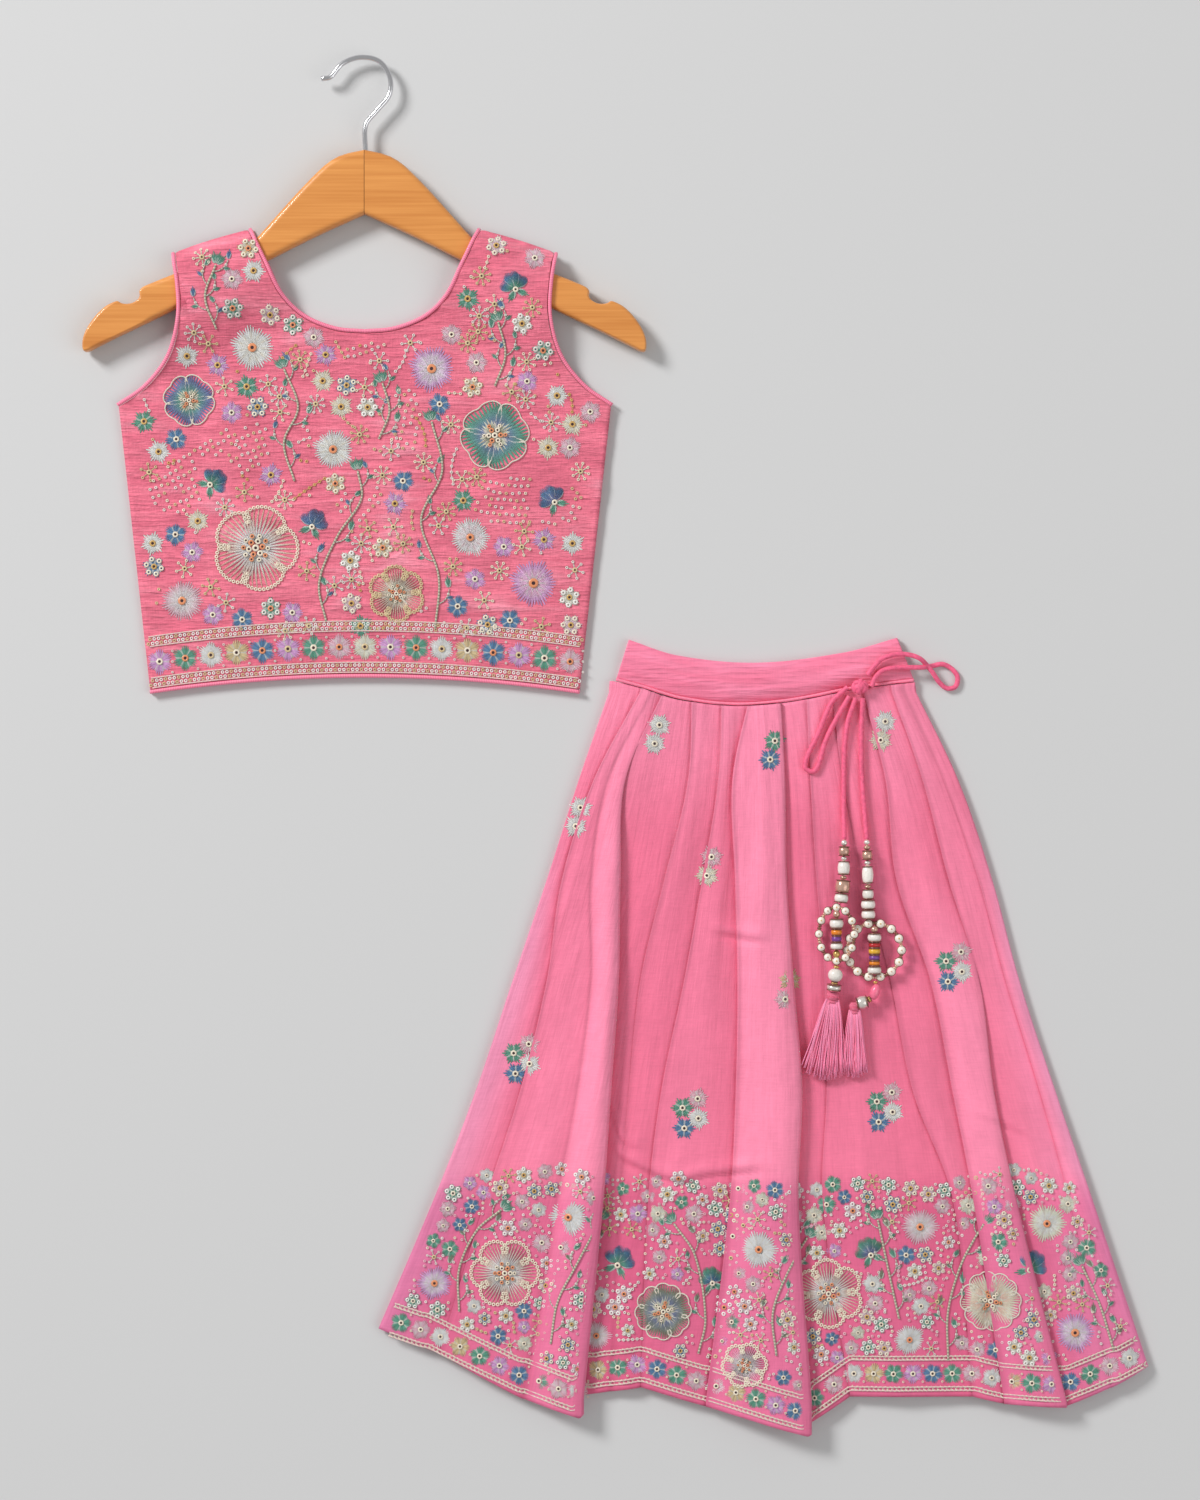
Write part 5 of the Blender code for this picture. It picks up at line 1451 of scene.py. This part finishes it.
def embroider_skirt(satin, sequins):
    thread = Thread()
    rng = np.random.default_rng(23)
    xs = np.linspace(*CHAIN_SPAN, 140)
    for height in CHAIN_HEIGHTS:
        spots = [(x, y) for x, y in zip(xs, front_hem(xs) + height) if inside_skirt(x, y, 1.5)]
        braid(thread, *zip(*spots), CHAIN_WIDTH, CHAIN_PITCH, False)
    count, half, height, radius = SKIRT_ROW
    for k in range(count):
        x = -half + 2 * half * k / (count - 1)
        y = float(front_hem(x)) + height
        if not inside_skirt(x, y, 5):
            continue
        colour = by_turns(HEM_ROW_COLOURS, k)
        thread.flower(x, y, radius, 5 + k % 2, colour, CREAM, ROUND_PETAL, k)
        for step in (4.5, -4.5):
            thread.sequin(x + 5.6, y + step, 0.7, CREAM)
    for x, y in SKIRT_BUTIS:
        for (dx, dy), colour in zip(BUTI_OFFSETS, BUTI_COLOURS):
            thread.flower(x + dx, y + dy, 6.6, 6, colour, CREAM, POINTED_PETAL, dx, 0.72)
    for x, y, *colours in SKIRT_PAIRS:
        for (dx, dy, turn), colour in zip(PAIR_OFFSETS, colours):
            thread.flower(x + dx, y + dy, 6.8, 7, colour, CREAM, POINTED_PETAL, turn, 0.76)
    taken = thread.motifs(SKIRT_LARGE, SKIRT_DAISIES, SKIRT_BUDS, SKIRT_SPRAYS, 10, 6, (GREEN, SAGE, GREEN),
                          (1.0, 0.5, 4.0))
    for k, (x, y) in enumerate(free_spots(rng, *SKIRT_SMALL, border_flower_place, taken)):
        size, pick = rng.uniform(*SKIRT_RADII), k // 2
        if k % 2 == 0:
            colour = by_turns(SKIRT_ROUND, pick)
            thread.flower(x, y, size, 5 + pick % 2, colour, CREAM, ROUND_PETAL, k)
        else:
            thread.sequin_flower(x, y, size, 6, *by_turns(SKIRT_LOOKS, pick), k)
    for k, (x, y) in enumerate(free_spots(rng, *SKIRT_STARS, border_flower_place, taken)):
        thread.star(x, y, SKIRT_STAR_RADIUS, 6, (SILVER, BEIGE, CREAM)[k % 3], k)
    for k, run in enumerate(trails(rng, *SKIRT_TRAILS, border_inside, in_border, taken)):
        thread.trail(run, (SILVER, BEIGE, CREAM, ROSE)[k % 4])
    for k, (x, y) in enumerate(ring_fill(rng, BORDER_BOX, in_border, taken)):
        thread.sequin(x, y, 0.85, (WHITE, CREAM, ROSE, SILVER)[k % 4])
    thread.build("skirt_embroidery", satin, sequins, (skirt_height, SKIRT_X, SKIRT_LIFT))


# Drawstring: x, y and lift above the cloth that it lies on, as the solids have them

CORD = 2.8
THREAD = 0.7
KNOT = (138.4, 33.0)
LOOP_RIGHT = [(145.2, 33.0, 0.6), (149.0, 40.8, 0.2), (156.5, 43.6, 0.0), (166.0, 44.0, 0.0),
              (177.3, 44.3, 0.0), (186.0, 46.0, 0.0), (192.6, 42.0, 0.0), (194.9, 35.9, 0.0),
              (190.8, 31.6, 0.0), (184.6, 35.0, 1.4), (178.6, 43.2, 3.6), (172.6, 49.0, 2.2),
              (163.0, 51.6, 0.8), (151.0, 48.8, 1.2), (142.8, 39.6, 1.0)]
LOOP_LEFT = [(131.6, 32.8, 0.6), (122.8, 24.4, 0.0), (114.6, 5.8, 0.0), (108.2, -7.6, 0.0),
             (107.4, -12.8, 0.0), (110.9, -15.8, 0.0), (114.5, -12.4, 0.0), (119.4, 3.2, 0.0),
             (127.6, 19.0, 0.0), (132.6, 27.6, 0.4)]
END_LEFT = [(136.2, 26.6, 0.4), (132.0, 14.0, 0.0), (130.0, 0.0, 0.0), (129.4, -27.0, 0.0),
            (129.6, -53.4, 2.2)]
END_RIGHT = [(140.2, 26.6, 0.4), (139.4, 4.0, 0.0), (139.9, -20.0, 0.0), (142.4, -53.4, 2.2)]
# The knot's three turns: lean and size
KNOT_TURNS = ((0.2, 1.0), (1.4, 0.95), (2.5, 0.9))
KNOT_SIZE = (3.6, 2.6, 1.3)
KNOT_CORE = (8.0, 6.4)
KNOT_REACH = 4.0
KNOT_LIFT = 3.0
# Half the width of the waistband's even part
BAND_EVEN = 84.0


def surface_under(x, y):
    """Top of whatever the drawstring lies on, without the finest creases."""
    local = x - SKIRT_X
    seam = seam_y(local)
    high, low = seam + BAND_PIPING / 2, seam - BAND_PIPING / 2 - SEAM_GAP
    on_band = (y > high) & (np.abs(local) <= BAND_EVEN) & (y <= curve_at(BAND_TOP_X, BAND_TOP_Y, local))
    on_seam = (y <= high) & (y > low) & (np.abs(local) < SEAM_X[-1])
    inside = (y <= low) & (local > line_x("left_edge", y)) & (local < line_x("right_edge", y))
    height = np.where(on_band, band_surface(local, y), 0.0)
    height = np.where(on_seam, FRONT_BASE + 1.0, height)
    return np.where(inside, skirt_height(local, y) - skirt_detail(local, y), height)


def seat_height(x, y, reach):
    """The highest point within reach of a place."""
    angles = np.repeat(np.arange(12) * np.pi / 6, 3)
    reaches = reach * np.tile((0.0, 0.5, 1.0), 12)
    return float(np.max(surface_under(x + reaches * np.cos(angles), y + reaches * np.sin(angles))))


def cord_route(points):
    """The cord's centre line, eased over the folds that it crosses."""
    rough = smooth_route(points, 2.1 * CORD)
    seats = [seat_height(x, y, CORD / 2 + 0.8) for x, y, lift in rough]
    eased = [max(seats[max(i - 1, 0):i + 2]) for i in range(len(seats))]
    placed = np.stack((rough[:, 0], rough[:, 1], np.array(eased) + rough[:, 2] + GAP + CORD / 2), axis=1)
    return smooth_route(placed, 1.2)


def through_beads(side):
    """The thin thread that carries a latkan's beads, from the drawstring down to the tassel."""
    string, _, ring, _, drop, _ = LATKAN_SIDES[side]
    (x, y), reach, tall = ring["centre"], ring["half"][1] - COLUMN_INSET, ring["height"]
    column = [(x, y + reach, tall), (x, y, tall), (x, y - reach, tall)]
    return smooth_route(raised(string + column + drop, latkan_floor()), 1.2)


def build_drawstring(cloth):
    heap = Heap()
    height = seat_height(*KNOT, KNOT_REACH) + GAP + KNOT_LIFT
    turn = np.linspace(0, 2 * np.pi, 26)
    for k, (lean, size) in enumerate(KNOT_TURNS):
        wide, tall, deep = KNOT_SIZE
        x, y = wide * size * np.cos(turn), tall * size * np.sin(turn) * math.cos(lean)
        z = deep * np.sin(turn) * math.sin(lean) + 0.3 * k
        loop = np.stack((*turned(x, y, lean), z), axis=1)
        heap.add(tube_shape(loop + (*KNOT, height), 1.5, 10), PIPING_PINK, tube_uvs(26, 10, 0.6))
    heap.add(bead_shape((*KNOT, height), KNOT_CORE, (1, 0.4, 0)), PIPING_PINK)
    stand_for(heap.build("bow_knot", cloth), "drawstring_knot")
    rows = (("bow_loop_right", "drawstring_loop_right", LOOP_RIGHT, "object"),
            ("bow_loop_left", "drawstring_loop_left", LOOP_LEFT, "object"),
            ("string_end_left", "drawstring_end_left", END_LEFT, "fitting"),
            ("string_end_right", "drawstring_end_right", END_RIGHT, "fitting"))
    cords = {}
    for name, node, points, far_end in rows:
        route = cord_route(points)
        thread_from = len(route)
        if far_end == "fitting":
            route = np.concatenate((route, through_beads(name.split("_")[-1])))
        piece = round_tube(name, route, CORD, cloth, thread_from)
        stand_for(piece, node)
        cords[name] = (piece, route, far_end)
    return cords


# Latkans, with heights above the cloth that they lie on

LATKAN_AREA = ((114.0, -188.0), (163.0, -54.0))
# How far inside its ring a column of beads ends, and how much wider all beads are than listed
COLUMN_INSET = 1.6
BEAD_GROWTH = 1.22
# Beads boxier than this have a thin dark rim at each end, and some have the gloss of metal
RIMMED = 0.7
METAL_COLOURS = (SILVER, GOLD, BRONZE)
LEFT_STRING = [(129.6, -53.8, 2.2), (128.9, -76.0, 4.6), (127.4, -89.7, 5.6)]
RIGHT_STRING = [(142.4, -53.8, 2.2), (142.8, -74.0, 3.6), (143.2, -99.0, 3.9)]
LEFT_DROP_ROUTE = [(125.0, -125.0, 5.4), (124.2, -132.0, 4.9), (123.4, -139.3, 4.2)]
RIGHT_DROP_ROUTE = [(147.2, -133.9, 3.8), (146.7, -141.0, 3.6), (142.6, -145.0, 3.5), (136.4, -146.9, 3.3)]
LEFT_RING = {"centre": (125.0, -107.3), "half": (10.3, 15.2), "height": 5.6, "tilt": 17.0}
RIGHT_RING = {"centre": (146.6, -116.5), "half": (15.4, 15.4), "height": 3.7, "tilt": 0.0}
# Beads along each string: length, width, boxiness (low is boxier), colour
LEFT_BEADS = ((3.6, 3.0, 1.0, SILVER), (5.6, 5.2, 0.6, BRONZE), (2.4, 3.0, 1.0, SILVER),
              (8.2, 5.8, 0.45, PEARL), (2.2, 3.4, 1.0, BRONZE), (7.6, 7.0, 0.35, BRONZE),
              (5.4, 6.6, 0.5, PEARL))
RIGHT_BEADS = ((2.8, 3.0, 1.0, SILVER), (2.8, 3.4, 1.0, BRONZE), (5.4, 5.0, 0.6, BRONZE),
               (2.6, 3.0, 1.0, SILVER), (10.2, 5.4, 0.5, PEARL), (2.4, 3.2, 1.0, BRONZE),
               (5.6, 5.4, 0.5, PEARL), (5.4, 6.8, 0.5, PEARL), (5.2, 6.6, 0.5, PEARL))
LEFT_COLUMN = ((4.6, 3.4, 1.0, BRONZE), (6.0, 6.6, 0.6, PEARL), (3.8, 5.2, 0.5, ORANGE),
               (3.8, 4.8, 0.5, PURPLE), (4.4, 5.8, 0.6, PEARL), (4.6, 3.4, 1.0, GOLD))
RIGHT_COLUMN = ((4.2, 3.4, 1.0, BRONZE), (5.6, 6.6, 0.6, PEARL), (3.4, 5.6, 0.5, RED),
                (4.0, 5.6, 0.5, YELLOW), (3.6, 5.2, 0.5, PURPLE), (3.2, 5.2, 0.5, ORANGE),
                (5.2, 6.6, 0.6, PEARL))
LEFT_DROP = ((2.0, 3.0, 1.0, GOLD), (8.6, 7.0, 0.8, PEARL), (1.6, 3.4, 0.6, GOLD), (4.0, 6.8, 0.4, SILVER))
RIGHT_DROP = ((1.6, 2.2, 1.0, GOLD), (9.0, 4.6, 0.8, TASSEL_PINK), (1.8, 3.0, 0.6, GOLD),
              (6.6, 6.0, 0.5, SILVER))
# Tassels: root, end, their widths, depth and number of strands
TASSELS = {"left": ((122.9, -144.4), (117.6, -189.8), 7.0, 23.0, 4.2, 140),
           "right": ((135.4, -150.4), (135.6, -189.0), 6.0, 14.0, 3.8, 110)}
STRAND = 0.38
TASSEL_CLEAR = 0.9
# The bound head: where it starts and ends along the tassel, and its relative widths in between
HEAD_REACH = (-4.2, 2.2)
HEAD_WIDTHS = (0.34, 0.46, 0.52, 0.5, 0.42, 0.46, 0.5, 0.5)


def latkan_floor():
    (left, low), (right, high) = LATKAN_AREA
    x, y = np.meshgrid(np.linspace(left, right, 12), np.linspace(low, high, 24))
    return float(np.max(surface_under(x, y))) + GAP


def bead_string(heap, route, beads):
    """Beads threaded along a route, sized to fill it."""
    route = smooth_route(route, 0.5)
    reach = lengths_along(route)
    scale = reach[-1] / sum(bead[0] for bead in beads)
    at = 0.0
    for length, width, power, colour in beads:
        length, width = length * scale, width * BEAD_GROWTH
        middle = at + length / 2
        centre = np.array([np.interp(middle, reach, route[:, axis]) for axis in range(3)])
        index = min(int(np.searchsorted(reach, middle)), len(route) - 2)
        along = route[index + 1] - route[index]
        shade = np.array(colour) * random.uniform(0.88, 1.0)
        metal = 0.5 if colour in METAL_COLOURS else 0.0
        heap.add(bead_shape(centre, (length * 0.98, width), along, 9, 14, power), shade, metal=metal)
        if power < RIMMED:
            for side in (-0.42, 0.42):
                rim = centre + unit(along) * length * side
                heap.add(bead_shape(rim, (0.8, width * 1.06), along, 4, 14, 0.4), DARK_BRONZE, metal=0.4)
        at += length
    heap.add(tube_shape(route[::4], 0.45, 6), GOLD)


def beaded_ring(heap, ring, column, floor):
    """Round stones and small metal beads by turns round a wire, with a string down the middle."""
    centre = np.array((*ring["centre"], floor + ring["height"]))
    (wide, tall), tilt = ring["half"], math.radians(ring["tilt"])

    def place(x, y):
        return centre + (x * math.cos(tilt), y, x * math.sin(tilt))

    turn = np.linspace(0, 2 * np.pi, 60)
    heap.add(tube_shape([place(wide * math.cos(a), tall * math.sin(a)) for a in turn], 0.5, 6), GOLD)
    count, size = (12, 4.4) if wide < tall else (14, 4.9)
    rim = np.linspace(0, 2 * np.pi, 17)
    circle = np.stack((np.cos(rim) * 0.5, np.sin(rim) * 0.5, 0 * rim + 0.06), axis=1) * size
    for k in range(count * 2):
        angle = np.pi * k / count
        spot = place(wide * math.cos(angle), tall * math.sin(angle))
        along = place(-wide * math.sin(angle), tall * math.cos(angle)) - centre
        pick = k // 2 % 2
        if k % 2:
            for step in (-0.75, 0.75):
                bead = bead_shape(spot + unit(along) * step, (1.5, 2.7), along, 5, 10)
                heap.add(bead, (BRONZE, DARK_BRONZE)[pick], metal=0.4)
        else:
            heap.add(bead_shape(spot, (size * 0.8, size), (0, 0, 1), 8, 14, 0.8), STONE)
            heap.add(tube_shape(spot + circle, 0.26, 6), DARK_BRONZE, metal=0.4)
            heap.add(bead_shape(spot + (0, 0, size * 0.38), (0.9, 1.1), along, 5, 8), (BRONZE, GOLD)[pick])
    reach = tall - COLUMN_INSET
    bead_string(heap, [place(0, reach), place(0, 0), place(0, -reach)], column)


def tassel(name, node, root, end, root_width, end_width, depth, strands, floor, material):
    """Silky threads from a bound head, spread out and trimmed nearly level."""
    heap = Heap()
    root, end = np.array(root), np.array(end)
    length = np.linalg.norm(end - root)
    along = (end - root) / length
    across = sideways(along)
    low = floor + TASSEL_CLEAR
    rng = np.random.default_rng(strands)
    steps = np.linspace(0, 1, 9)
    spread = root_width + (end_width - root_width) * steps ** 0.8
    for k in range(strands):
        side = (k + rng.uniform(0, 1)) / strands - 0.5
        layer = (k * 7 % 5) / 4
        reach = length * rng.uniform(0.88, 1.02) * (1 - 0.1 * (2 * side) ** 2)
        wave = (0.9 * np.sin(3.2 * steps + rng.uniform(0, 6)) + rng.uniform(-1.2, 1.2) * steps) * steps
        spots = root + along * (steps * reach)[:, None] + across * (side * spread + wave)[:, None]
        lift = low + depth * (0.15 + 0.7 * layer) * (1 - 0.45 * steps) + 0.2 * wave
        shade = np.clip(np.array(TASSEL_PINK) * rng.uniform(1.1, 1.6), 0, 1)
        heap.add(tube_shape(np.column_stack((spots, lift)), STRAND, 4), shade, tube_uvs(9, 4, 2.0))
    middle = low + depth / 2
    head = [(*(root + along * reach), middle) for reach in HEAD_REACH]
    route = np.linspace(*head, len(HEAD_WIDTHS))
    widths = root_width * np.array(HEAD_WIDTHS)
    heap.add(tube_shape(route, widths, 14, depth / root_width), TASSEL_PINK, tube_uvs(len(widths), 14, 3.0))
    binding = np.array(TASSEL_PINK) * 0.8
    for share in (0.52, 0.58, 0.64):
        spot = route[0] + (route[-1] - route[0]) * share
        heap.add(bead_shape(spot, (0.7, root_width * 0.98), (*along, 0), 4, 16, 0.3), binding)
    piece = heap.build(name, material)
    stand_for(piece, node)
    return piece


LATKAN_SIDES = {"left": (LEFT_STRING, LEFT_BEADS, LEFT_RING, LEFT_COLUMN, LEFT_DROP_ROUTE, LEFT_DROP),
                "right": (RIGHT_STRING, RIGHT_BEADS, RIGHT_RING, RIGHT_COLUMN, RIGHT_DROP_ROUTE, RIGHT_DROP)}


def build_latkans(beaded, thread):
    floor = latkan_floor()
    for side, (string, beads, ring, column, drop, drop_beads) in LATKAN_SIDES.items():
        pieces = []
        for part, fill in (("beads", lambda heap: bead_string(heap, raised(string, floor), beads)),
                           ("ring", lambda heap: beaded_ring(heap, ring, column, floor)),
                           ("drop", lambda heap: bead_string(heap, raised(drop, floor), drop_beads))):
            heap = Heap()
            fill(heap)
            node = "latkan_%s_%s" % (side, part)
            pieces.append(heap.build(node + "_fine", beaded))
            stand_for(pieces[-1], node)
        node = "latkan_%s_tassel" % side
        pieces.append(tassel(node + "_fine", node, *TASSELS[side], floor, thread))


def raised(route, floor):
    return [(x, y, z + floor) for x, y, z in route]


# Light, floor and camera, in metres

FLOOR_HALF = 9.0
FLOOR_GREY = 0.62
SKY_STRENGTH = 0.4
# Name, place, size and power
LIGHTS = (("key", (-3.0, 2.4, 2.6), 1.2, 184.0), ("fill", (2.1, -0.75, 2.25), 2.4, 24.0))
LENS = 100.0
SENSOR = 36.0
# What the camera looks down on, and how tall the picture is there
VIEW_CENTRE = (-0.0091, -0.0029)
VIEW_TALL = 0.855


def build_stage():
    mesh = bpy.data.meshes.new("floor")
    corners = [(x * FLOOR_HALF, y * FLOOR_HALF, 0) for x, y in ((-1, -1), (1, -1), (1, 1), (-1, 1))]
    mesh.from_pydata(corners, [], [(0, 1, 2, 3)])
    floor = new_object("floor", mesh)
    material, _, shader = new_material("pale floor", 0.8)
    shader.inputs["Base Color"].default_value = (FLOOR_GREY, FLOOR_GREY, FLOOR_GREY, 1)
    mesh.materials.append(material)
    world = bpy.data.worlds.new("soft sky")
    world.use_nodes = True
    sky = world.node_tree.nodes["Background"]
    sky.inputs["Color"].default_value = (1, 1, 1, 1)
    sky.inputs["Strength"].default_value = SKY_STRENGTH
    bpy.context.scene.world = world
    bpy.context.scene.view_settings.view_transform = "Standard"
    for name, place, size, power in LIGHTS:
        light = bpy.data.lights.new(name, "AREA")
        light.size = size
        light.energy = power
        lamp = new_object(name, light)
        lamp.location = place
        lamp.rotation_euler = (-Vector(place)).to_track_quat("-Z", "Y").to_euler()


def build_camera():
    """Straight above, with the whole set in the frame."""
    camera = bpy.data.cameras.new("above")
    camera.lens = LENS
    camera.sensor_width = SENSOR
    seat = new_object("above", camera)
    seat.location = (*VIEW_CENTRE, VIEW_TALL * LENS / SENSOR)
    bpy.context.scene.camera = seat


build_camera()
build_stage()
gauze = cloth_material("crinkled gauze", 0.75, 0.3, GAUZE_LAYERS)
skirt_cloth = cloth_material("skirt cloth", 0.6, 0.35, SKIRT_LAYERS)
band_cloth = cloth_material("waistband cloth", 0.6, 0.35, BAND_LAYERS)
satin_piping = thread_material("satin piping", 0.4, 0.3, 0.5, 0.1)
string_cloth = string_material("drawstring cloth")
satin_thread = thread_material("satin stitch", 0.45, 0.3, 6.0, 0.12)
sequin_finish = thread_material("sequins", 0.3, 0.0, 0.2, 0.0)
bead_finish = bead_material("beads")
tassel_thread = thread_material("tassel thread", 0.45, 0.15, 1.0, 0.05)
string_pieces = build_drawstring(string_cloth)
build_latkans(bead_finish, tassel_thread)
build_hanger()
build_choli(gauze, satin_piping)
build_skirt(skirt_cloth, band_cloth, satin_piping)
embroider_choli(satin_thread, sequin_finish)
embroider_skirt(satin_thread, sequin_finish)
